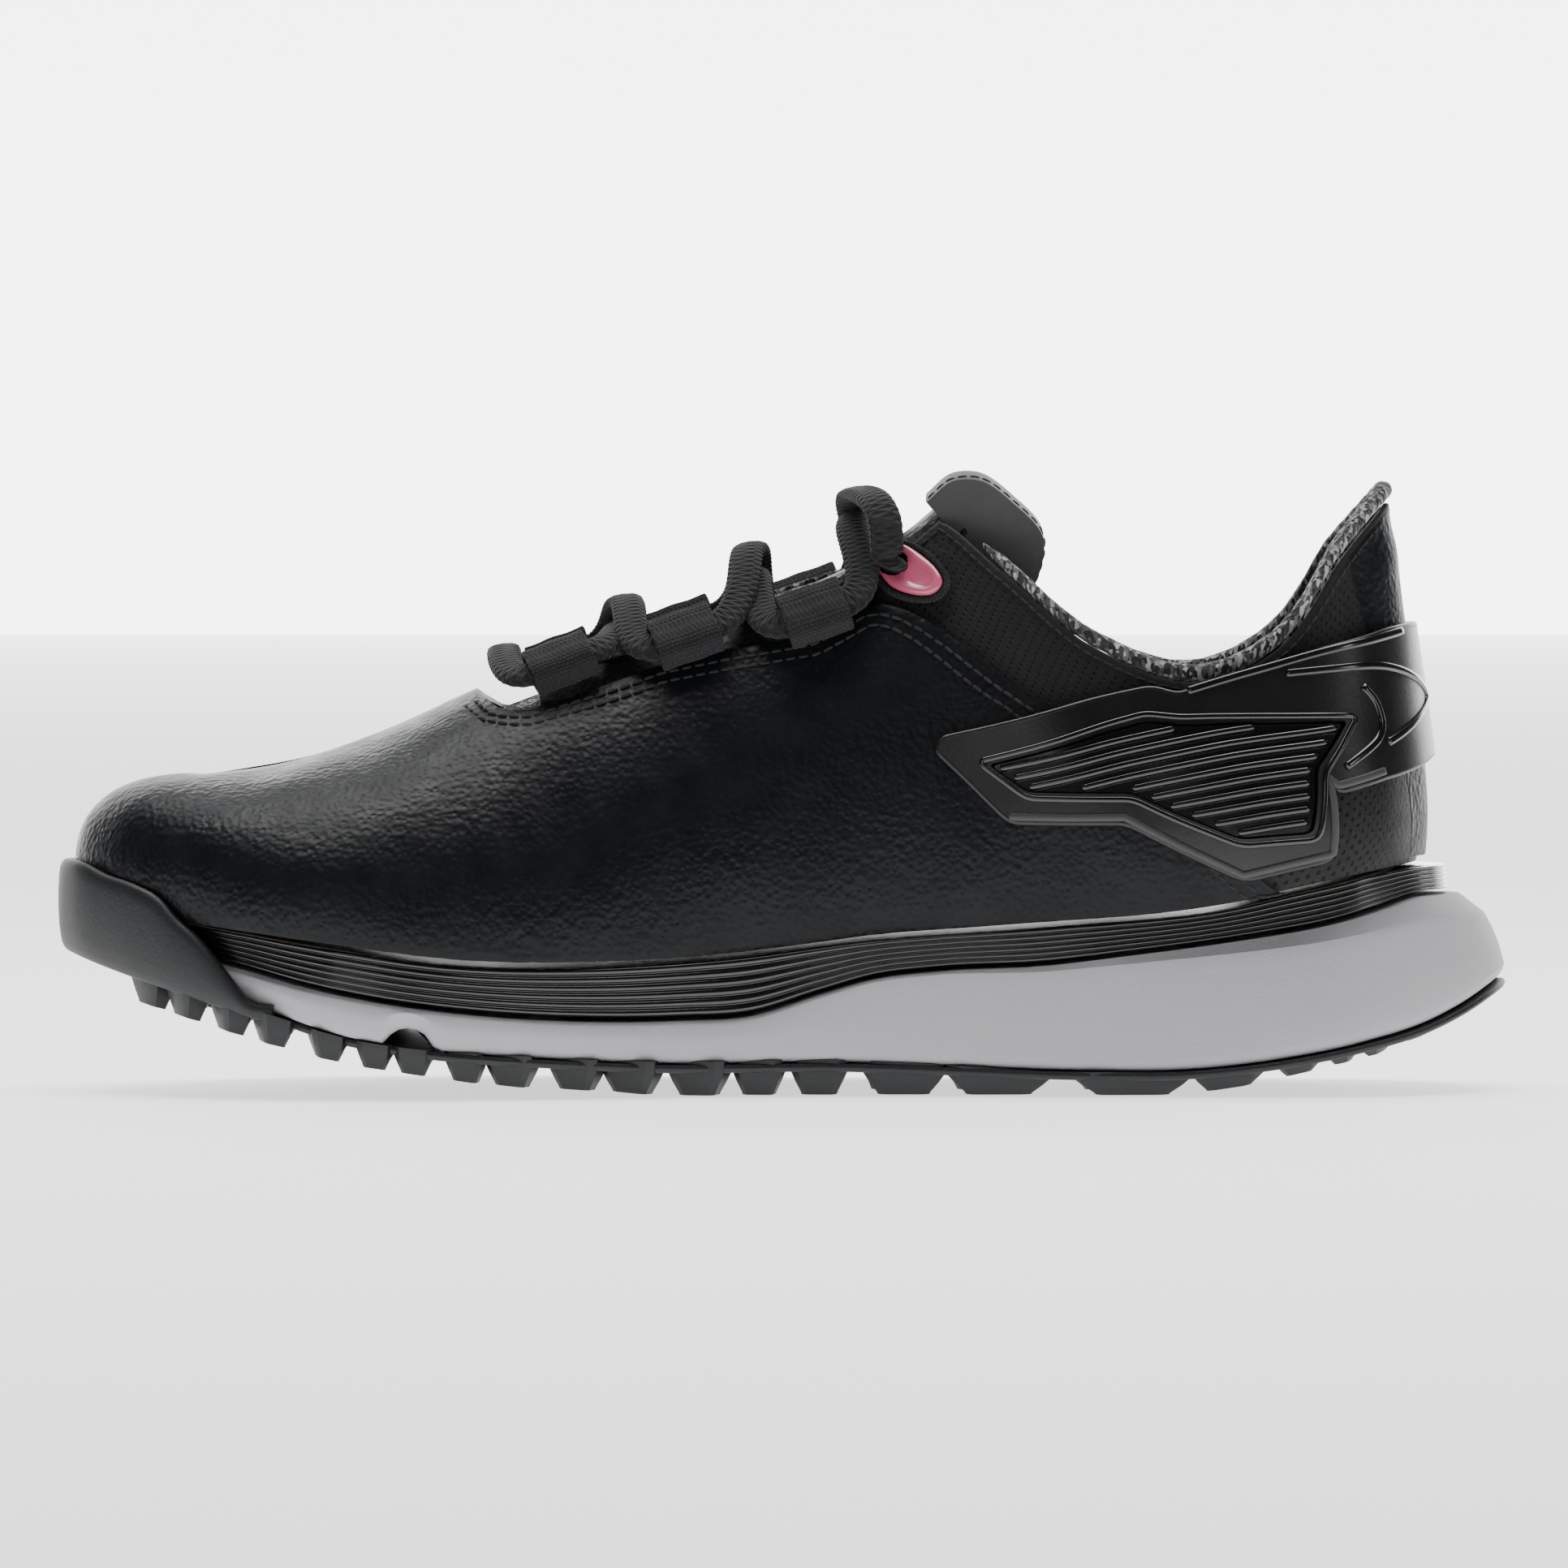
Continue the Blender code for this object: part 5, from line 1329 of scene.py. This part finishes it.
def wrap_normal(w, z):
    u = 1.0 + w / ROUND
    return loft_normal(u % 2.0, t_at_height(u % 2.0, z))


def mirrored(points):
    return [(-w, z) for w, z in reversed(points)]


def on_side(line, side):
    """A medial flat line, or its mirror image on the lateral side."""
    return line if side == MEDIAL else mirrored(line)


def shrink(points, by):
    """A closed flat line moved inwards by a distance, corner by corner."""
    points = np.array(points, float)
    ahead = np.roll(points, -1, axis=0) - points
    ahead /= np.linalg.norm(ahead, axis=1, keepdims=True)
    area = np.sum(points[:, 0] * np.roll(points[:, 1], -1) - np.roll(points[:, 0], -1) * points[:, 1])
    turn = 1.0 if area > 0 else -1.0
    normal = np.stack([-ahead[:, 1], ahead[:, 0]], axis=1) * turn
    before = np.roll(normal, 1, axis=0)
    both = normal + before
    both /= np.linalg.norm(both, axis=1, keepdims=True)
    share = np.clip(np.sum(both * normal, axis=1, keepdims=True), 0.45, 1.0)
    return [tuple(p) for p in points + both * by / share]


def rounded(points, radius, steps=5):
    """A closed flat line with its corners turned on small curves."""
    points = np.array(points, float)
    made = []
    for k, corner in enumerate(points):
        before, after = points[k - 1], points[(k + 1) % len(points)]
        a, b = before - corner, after - corner
        reach_a, reach_b = np.linalg.norm(a), np.linalg.norm(b)
        cut = min(radius, reach_a * 0.45, reach_b * 0.45)
        start, end = corner + a / reach_a * cut, corner + b / reach_b * cut
        for share in np.linspace(0, 1, steps):
            made.append(
                tuple((1 - share) ** 2 * start + 2 * share * (1 - share) * corner + share**2 * end)
            )
    return made


def wrapped(name, loops, inner, outer, cell, nodes, look, edge=0.5):
    """A flat plate with holes, cut into cells and laid on the upper between two distances out."""
    curve = bpy.data.curves.new(name, "CURVE")
    curve.dimensions = "2D"
    curve.fill_mode = "BOTH"
    curve.extrude = 0.5 * MM
    for loop in loops:
        line = curve.splines.new("POLY")
        line.points.add(len(loop) - 1)
        line.use_cyclic_u = True
        for point, (w, z) in zip(line.points, loop):
            point.co = (w * MM, z * MM, 0.0, 1.0)
    flat = placed(name, curve)
    graph = bpy.context.evaluated_depsgraph_get()
    mesh = bpy.data.meshes.new_from_object(flat.evaluated_get(graph))
    bpy.data.objects.remove(flat)
    work = bmesh.new()
    work.from_mesh(mesh)
    bmesh.ops.remove_doubles(work, verts=work.verts, dist=0.01 * MM)
    ws = [p[0] for loop in loops for p in loop]
    zs = [p[1] for loop in loops for p in loop]
    for low, high, axis in ((min(ws), max(ws), 0), (min(zs), max(zs), 1)):
        for k in range(1, int((high - low) / cell) + 1):
            at, normal = [0, 0, 0], [0, 0, 0]
            at[axis], normal[axis] = (low + k * cell) * MM, 1
            bmesh.ops.bisect_plane(
                work, geom=work.verts[:] + work.edges[:] + work.faces[:], plane_co=at, plane_no=normal
            )
    for vertex in work.verts:
        w, z = vertex.co.x / MM, vertex.co.y / MM
        u = 1.0 + w / ROUND
        out = inner(u) if vertex.co.z < 0 else outer(u)
        vertex.co = Vector(wrap_place(w, z, out)) * MM
    bmesh.ops.recalc_face_normals(work, faces=work.faces)
    work.to_mesh(mesh)
    work.free()
    mesh.materials.clear()
    mesh.materials.append(LOOKS[look])
    mesh.shade_smooth()
    made = placed(name, mesh)
    if edge:
        bevel(made, edge, 3, 50)
    else:
        sharpen(made, 50)
    return assigned(made, "shoe", nodes)


def bar(name, line, width, thick, lift, look, closed=False, power=0.8):
    """A rounded bar along a flat line, standing on the cage. Its line is (w, z) pairs."""
    dense = evened([(w, z, 0.0) for w, z in (list(line) + [line[0]] if closed else line)], 0.8)
    if closed:
        dense = dense[:-1]
    route, ups = [], []
    for w, z, _ in dense:
        u = 1.0 + w / ROUND
        route.append(wrap_place(w, z, cage_outer(u) + lift))
        ups.append(wrap_normal(w, z))
    return strip(
        name, route, ups, oval(width, thick, 12, power), "shoe", (), look, closed
    )


def inside(point, loop):
    w, z = point
    found = False
    for (w1, z1), (w2, z2) in zip(loop, loop[1:] + loop[:1]):
        if (z1 > z) != (z2 > z) and w < (w2 - w1) * (z - z1) / (z2 - z1) + w1:
            found = not found
    return found


def ribs(name, side, window):
    """Slanted ribs, each a rounded bar from edge to edge of the window."""
    field = shrink(window, 1.0)
    low, high = min(p[1] for p in field), max(p[1] for p in field)
    first, last = min(p[0] for p in field), max(p[0] for p in field)
    count = 0
    reach = np.linspace(first - 1, last + 1, 260)
    for start in np.arange(low - 14.0, high + 8.0, RIB_PITCH):
        runs, run = [], []
        for w in reach:
            z = start + RIB_SLOPE * (w - first)
            if inside((w, z), field):
                run.append((w, z))
            elif run:
                runs.append(run)
                run = []
        if run:
            runs.append(run)
        for run in runs:
            if run[-1][0] - run[0][0] < RIB_SHORTEST:
                continue
            bar(f"cage_rib_{name}_{count:02d}", on_side(run, side), 1.5, 1.7, -0.75, "rib")
            count += 1


def cage():
    top = [flat_place(x, z) for x, z in CAGE_OUTLINE]
    low = [flat_place(x, z) for x, z in CAGE_LOWER]
    heel_top = [(-6.0, CAGE_HEEL_TOP), (6.0, CAGE_HEEL_TOP)]
    heel_low = [(6.0, CAGE_HEEL_LOW), (-6.0, CAGE_HEEL_LOW)]
    outline = rounded(top + heel_top + mirrored(top) + mirrored(low) + heel_low + low, 2.2)
    window = [flat_place(x, z) for x, z in CAGE_WINDOW]
    soft_window = rounded(window, 1.6)
    loops = [outline, soft_window[::-1], mirrored(soft_window)[::-1]]
    wrapped("cage_frame", loops, cage_inner, cage_outer, 2.4, ("heel_cage",), "cage", 0.0)
    bar("cage_edge", outline, 1.5, 1.9, -0.9, "cage", closed=True)
    for name, side in SIDES.items():
        field = rounded(shrink(window, 0.35), 1.4)
        wrapped(
            f"rib_field_{name}", [on_side(field, side)], cage_inner,
            lambda u: cage_outer(u) - 1.3, 2.4, (f"rib_insert_{name}",), "rib", 0.0,
        )
        ribs(name, side, window)
        rim = on_side(rounded(shrink(window, -1.1), 1.8), side)
        bar(f"cage_rim_{name}", rim, 1.3, 1.1, 0.0, "rib", closed=True)
        heel_lines = (
            ((77.0, 75.9), (90.0, 79.9), (104.0, 84.4), (116.0, 87.8)),
            ((95.5, 79.4), (110.8, 81.6), (118.0, 79.5), (121.0, 75.2), (118.6, 70.6), (113.4, 66.4)),
            ((109.0, 77.2), (111.3, 74.4), (112.6, 70.0), (112.0, 67.0), (106.0, 61.8)),
        )
        for number, line in enumerate(heel_lines):
            flat = [flat_place(x, z) for x, z in line]
            knots = np.arange(len(flat))
            wanted = np.linspace(0, len(flat) - 1, 90)
            dense = np.stack([np.interp(wanted, knots, values) for values in zip(*flat)], axis=1)
            flat = on_side([tuple(p) for p in relaxed(dense, 60)], side)
            bar(f"heel_line_{name}_{number}", flat, 1.7, 1.2, -0.1, "rib")
        edge = on_side([(w, z + 0.9) for w, z in low], side)
        bar(f"cage_lower_rim_{name}", edge, 1.6, 1.0, 0.0, "cage_pale")


# Lacing


def loop_places():
    """Where each webbing loop sits: its u, its t and its distance out."""
    places = {}
    for number, x in enumerate(LOOP_CENTRES, 1):
        for name, side in SIDES.items():
            u = ridge_u(x) if side == MEDIAL else 2.0 - ridge_u(x)
            line = column(u)
            out = np.abs(line[:, 1] - middle(line[:, 0]))[::-1]
            half = throat_half(x) + LOOP_HEIGHT / 2 + 0.6
            t = float(np.interp(half, out, SAMPLE_T[::-1]))
            places[name, number] = (u, t, LAYER_GAP + VAMP_THICK + GAP + LOOP_THICK / 2)
    return places


def webbing_loop(name, node_name, frame):
    """A sleeve of ribbed webbing, open at both ends for the lace, its rim rounded."""
    place, along, up, normal = frame
    count = 96
    half = LOOP_LENGTH / 2
    rings = [
        (-half + 0.5, LOOP_WALL + 0.15), (-half + 0.12, LOOP_WALL * 0.6), (-half, LOOP_WALL * 0.4),
        (-half + 0.12, 0.12), (-half + 0.5, 0.0),
    ]
    rings += [(x, 0.0) for x in np.linspace(-half + 1.2, half - 1.2, 9)]
    rings += [(-x, inset) for x, inset in reversed(rings[:5])]
    points, uvs = [], []
    for x, inset in rings:
        for k in range(count):
            a = 2 * math.pi * (k + 0.5) / count
            c, s = math.cos(a), math.sin(a)
            rib = 0.13 * math.cos(a * 30) if inset < 0.2 else 0.0
            high = LOOP_HEIGHT / 2 - inset + rib - 0.14
            thick = LOOP_THICK / 2 - inset + rib - 0.14
            y = high * math.copysign(abs(c) ** 0.62, c)
            z = thick * math.copysign(abs(s) ** 0.62, s)
            wave = 0.12 * math.sin(x * 0.9 + 3 * c)
            points.append(place + along * x + up * y + normal * (z + wave * (inset < 0.2)))
            uvs.append((x / 100, k / count))
    faces = grid_faces(len(rings), count, closed_rows=True, closed_columns=True)
    piece(name, points, faces, "shoe", (node_name,), "webbing", uvs, weld=0)


def lace_through(frames, name, number):
    """The lace's way through one loop, a little past both its ends."""
    place, along = frames[name, number][:2]
    reach = LOOP_LENGTH / 2
    return [place + along * reach, place, place - along * reach]


def eyelet_way(side):
    """Out through the top lace hole from inside, as the start of that half of the lace."""
    x, z = EYELET_HOLE
    place, _, up, normal = side_frame(x, z, side, GAP)
    return [
        place - normal * 3.2,
        place - normal * 1.0,
        place + normal * 4.5,
        place + normal * 8.5 + up * 4.0,
    ]


def lace_route(frames):
    """From the medial eyelet down the throat, across its front, and back up to the lateral one."""

    def crossing(number, lift):
        a = frames["medial", number][0]
        c = frames["medial", number + 1][0] if number < len(LOOP_CENTRES) else np.array([21.0, 0, 101.0])
        x = (a[0] + c[0]) / 2
        top = LACE_TOP_RISE if number == len(LOOP_CENTRES) else 0.0
        return np.array([x, middle(x), ridge_z(x) + lift + top])

    strand = eyelet_way(MEDIAL)
    for number, name in zip((3, 2, 1), ("lateral", "medial", "lateral")):
        strand.append(crossing(number, LACE_HIGH))
        strand += lace_through(frames, name, number)
    front = frames["medial", 1][0]
    bar_x = front[0] - LOOP_LENGTH / 2 - 5.0
    strand.append(np.array([bar_x, middle(bar_x), ridge_z(bar_x) + LACE_HIGH]))
    other = eyelet_way(LATERAL)
    for number, name in zip((3, 2, 1), ("medial", "lateral", "medial")):
        other.append(crossing(number, LACE_HIGH - LACE_DIAMETER - 0.8))
        other += lace_through(frames, name, number)
    return strand + other[::-1]


def lacing():
    frames = {}
    for (name, number), (u, t, out) in loop_places().items():
        frames[name, number] = surface_frame(u, t, out)
        webbing_loop(
            f"webbing_{name}_{number}", f"lace_loop_{name}_{number}", frames[name, number]
        )
    smooth = relaxed(even_route(lace_route(frames), BRAID_STEP), 10)
    ups = []
    for place in smooth:
        heart = np.array([place[0] + 4.0, middle(place[0]), ridge_z(place[0]) - 26.0])
        ups.append((place - heart) / np.linalg.norm(place - heart))
    section = oval(BRAID_WIDTH, BRAID_THICK, 28, 0.8)
    made = strip("lace_braid", smooth, ups, section, "shoe", ("lace",), "lace")
    across = len(section)
    for k, vertex in enumerate(made.data.vertices):
        i, j = divmod(k, across)
        if i >= len(smooth):
            continue
        centre = Vector(smooth[i]) * MM
        turn = j * 4 * math.pi / across * 3
        weave = math.sin(i * 0.9 + turn) * math.sin(i * 0.9 - turn)
        out = vertex.co - centre
        vertex.co = centre + out * (1 + BRAID_WEAVE * weave)
    throat_trim()


def throat_trim():
    """The knit binding stitched along the throat's edge, beside the webbing loops."""
    for name, side in SIDES.items():
        us = span(THROAT_FRONT_U + 0.05, ridge_u(TRIM_END_X), 130)
        us = us if side == MEDIAL else [2.0 - u for u in us]
        route, ups = [], []
        for u in us:
            t = t_at_throat(u)
            route.append(skin(u, t - 0.004, 0.35))
            ups.append(loft_normal(u, t))
        line = evened(route, 0.6)
        wanted = np.linspace(0, len(ups) - 1, len(line))
        strip(
            f"throat_trim_{name}", line, hermite(np.arange(len(ups)), np.array(ups), wanted),
            oval(3.0, 1.7, 14, 0.8), "shoe", (), "knit",
        )


# The tongue

TONGUE_LINE = (
    # x, z of its outer face on the middle line; half width; depth of its arch; reach of the arc
    (-56.0, 70.0, 14.0, 7.0, 1.0), (-42.0, 77.2, 17.0, 10.0, 1.1), (-13.0, 89.0, 15.5, 13.5, 1.2),
    (10.0, 99.4, 11.8, 14.0, 1.2), (21.0, 105.9, 11.2, 14.0, 1.2), (31.0, 113.4, 12.6, 12.0, 1.15),
)
TAB_RUN = ((-3.5, 1.5), (1.5, 5.5), (6.0, 5.8), (13.5, 1.0), (19.0, -5.5), (18.0, -13.0), (14.5, -19.0))
TAB_HALF_WIDTH = 9.6


def sheet_solid(name, outer, inner, nodes, look, edge):
    """A closed layer between two grids of points of the same size."""
    rows, columns = outer.shape[:2]
    points = np.concatenate([outer.reshape(-1, 3), inner.reshape(-1, 3)])
    count = rows * columns
    faces = grid_faces(rows, columns)
    faces += [tuple(count + v for v in face[::-1]) for face in grid_faces(rows, columns)]
    rim = [(0, j) for j in range(columns)] + [(i, columns - 1) for i in range(1, rows)]
    rim += [(rows - 1, j) for j in range(columns - 2, -1, -1)] + [(i, 0) for i in range(rows - 2, 0, -1)]
    rim = [i * columns + j for i, j in rim]
    for a, b in zip(rim, rim[1:] + rim[:1]):
        faces.append((a, b, count + b, count + a))
    along = lengths(outer, 0)
    down = lengths(outer, 1)
    uvs = np.stack([along, down], axis=-1).reshape(-1, 2) / 100
    made = piece(name, points, faces, "tongue", nodes, look, np.concatenate([uvs, uvs]))
    if edge:
        bevel(made, edge, 3, 50)
    return made


def tongue_grid(depth, rows=90, columns=40, shorten=0.0, ripple=0.0):
    table = np.array(TONGUE_LINE)
    line = hermite(np.arange(len(table)), table, np.linspace(0.0, len(table) - 1.0 - shorten, rows))
    grid = []
    for k, (x, z, half, arch, reach) in enumerate(line):
        ahead = line[min(k + 1, rows - 1)][:2] - line[max(k - 1, 0)][:2]
        ahead /= np.linalg.norm(ahead)
        down = np.array([ahead[1], 0.0, -ahead[0]])
        row = []
        for angle in np.linspace(-reach, reach, columns):
            drop = arch * (1 - math.cos(angle))
            base = np.array([x, middle(x) + half * math.sin(angle), z])
            into = down * math.cos(angle * 0.8) + np.array([0.0, -math.sin(angle) * 0.8, 0.0])
            into /= np.linalg.norm(into)
            wave = ripple * math.sin(k * 0.35) * math.cos(angle * 2)
            row.append(base + down * drop + into * (depth + wave))
        grid.append(row)
    return np.array(grid)


def tab():
    """The suede pull tab folded over the tongue's top edge, with a row of stitches round it."""
    x, z = TONGUE_LINE[-1][0], TONGUE_LINE[-1][1]
    run = np.array(TAB_RUN)
    knots = distances(run)
    run = hermite(knots, run, np.linspace(0, knots[-1], 70))
    outer, inner = [], []
    ahead = np.gradient(run, axis=0)
    ahead /= np.linalg.norm(ahead, axis=1, keepdims=True)
    share = np.linspace(0.0, 1.0, len(run))[:, None]
    chord = np.array([1.5, -4.5]) * (1 - share) + np.array([12.8, -18.5]) * share
    for y in np.linspace(-TAB_HALF_WIDTH, TAB_HALF_WIDTH, 40):
        sag = -0.018 * y * y
        outer.append(np.array([[x + dx, y, z + dz + sag] for dx, dz in run]))
        inner.append(np.array([[x + dx, y * 0.97, z + dz + sag] for dx, dz in chord]))
    outer, inner = np.array(outer), np.array(inner)
    sheet_solid("tab_suede", outer, inner, ("tongue_tab",), "suede", 0.45)
    for number, row in enumerate((3, 36)):
        line = outer[row] + np.stack([ahead[:, 1], 0 * ahead[:, 0], -ahead[:, 0]], axis=1) * -0.05
        ups = np.stack([-ahead[:, 1], 0 * ahead[:, 0], ahead[:, 0]], axis=1)
        stitches(f"tab_stitches_{number}", line, ups, 2.0, 2.4, 0.5, "tongue")


def tongue():
    skin_thick, foam_thick, knit_thick = TONGUE_LAYERS
    sheet_solid(
        "tongue_leather", tongue_grid(0.0, ripple=0.12), tongue_grid(skin_thick), ("tongue_outer",),
        "leather", 0.35,
    )
    foam_top = skin_thick + GAP
    sheet_solid(
        "tongue_padding", tongue_grid(foam_top, shorten=0.12),
        tongue_grid(foam_top + foam_thick, shorten=0.12), ("tongue_foam",), "knit", 1.2,
    )
    knit_top = foam_top + foam_thick + GAP
    sheet_solid(
        "tongue_knit", tongue_grid(knit_top), tongue_grid(knit_top + knit_thick),
        ("tongue_lining",), "knit", 0.3,
    )
    tab()


# Light, floor and camera

VIEW_WIDTH = 0.2987
CAMERA_FAR = 2.5
NEAR_SIDE = -0.040
EYE_Z = 0.0597
EYE_RISE = math.radians(1.5)
FLOOR_DROP = 0.0002


def area_light(name, place, target, size, power, colour=(1.0, 1.0, 1.0)):
    data = bpy.data.lights.new(name, "AREA")
    data.shape = "RECTANGLE"
    data.size, data.size_y = size
    data.energy = power
    data.color = colour
    made = placed(name, data)
    made.location = place
    made.rotation_euler = (Vector(target) - Vector(place)).to_track_quat("-Z", "Y").to_euler()
    return made


def staged(name, points, faces, look):
    mesh = bpy.data.meshes.new(name)
    mesh.from_pydata(points, [], faces)
    mesh.materials.append(look)
    made = placed(name, mesh)
    return made


def glowing(name, roughness, strength):
    look, _, base = shader(name, (0.9, 0.9, 0.9), roughness)
    base.inputs["Emission Color"].default_value = (1.0, 1.0, 1.0, 1.0)
    base.inputs["Emission Strength"].default_value = strength
    return look


def studio():
    floor = [(x, y, -FLOOR_DROP) for x, y in ((-6, -6), (6, -6), (6, 6), (-6, 6))]
    wall = [(x, 5.9, z) for x, z in ((-6, 0), (6, 0), (6, 5), (-6, 5))]
    staged("floor", floor, [(0, 1, 2, 3)], glowing("floor", 0.9, 1.2))
    staged("backdrop", wall, [(0, 1, 2, 3)], glowing("backdrop", 1.0, 4.5))
    area_light("top_softbox", (0.0, 0.15, 1.25), (0.0, 0.0, 0.05), (1.3, 0.7), 22.0)
    area_light("front_fill", (-0.5, -1.7, 0.75), (0.0, 0.0, 0.05), (0.7, 0.3), 1.6)
    area_light("side_fill", (1.6, -0.9, 0.6), (0.0, 0.0, 0.05), (0.3, 0.8), 3.0)
    world = bpy.data.worlds.new("studio")
    bpy.context.scene.world = world
    world.use_nodes = True
    sky = world.node_tree.nodes["Background"]
    sky.inputs["Color"].default_value = (1.0, 1.0, 1.0, 1.0)
    sky.inputs["Strength"].default_value = 0.06


def camera():
    data = bpy.data.cameras.new("camera")
    data.sensor_width = 36.0
    data.lens = 36.0 * CAMERA_FAR / VIEW_WIDTH
    data.clip_end = 30.0
    made = placed("camera", data)
    target = Vector((0.0, NEAR_SIDE, EYE_Z))
    away = Vector((0.0, -math.cos(EYE_RISE), math.sin(EYE_RISE)))
    made.location = target + away * CAMERA_FAR
    made.rotation_euler = (-away).to_track_quat("-Z", "Y").to_euler()
    bpy.context.scene.camera = made


def dress_frame():
    """Every CAD node that stays in view takes a procedural material, by its material slot."""
    slots = {
        "shank_plate": "shank", "lasting_board": "board", "sockliner": "sockliner_fabric",
        "toe_puff": "stiffener", "heel_counter": "stiffener", "collar_foam_lateral": "foam",
        "collar_foam_medial": "foam", "tongue_foam": "foam", "tongue_lining": "knit",
        "tongue_outer": "leather", "tongue_tab": "suede", "heel_cage": "cage",
        "rib_insert_medial": "rib", "rib_insert_lateral": "rib", "lace": "lace",
        "midsole_lower": "midsole_grey", "midsole_upper": "midsole_black",
        "outsole": "outsole_rubber", "backstay": "leather", "vamp": "leather",
    }
    for name, made in frame["nodes"].items():
        slot = slots.get(name) or ("webbing" if name.startswith("lace_loop") else None)
        if slot is None:
            continue
        while len(made.material_slots) < 1:
            made.data.materials.append(None)
        for entry in made.material_slots:
            entry.link = "DATA"
            entry.material = LOOKS[slot]


camera()
upper()
sole()
cage()
lacing()
tongue()
dress_frame()
studio()
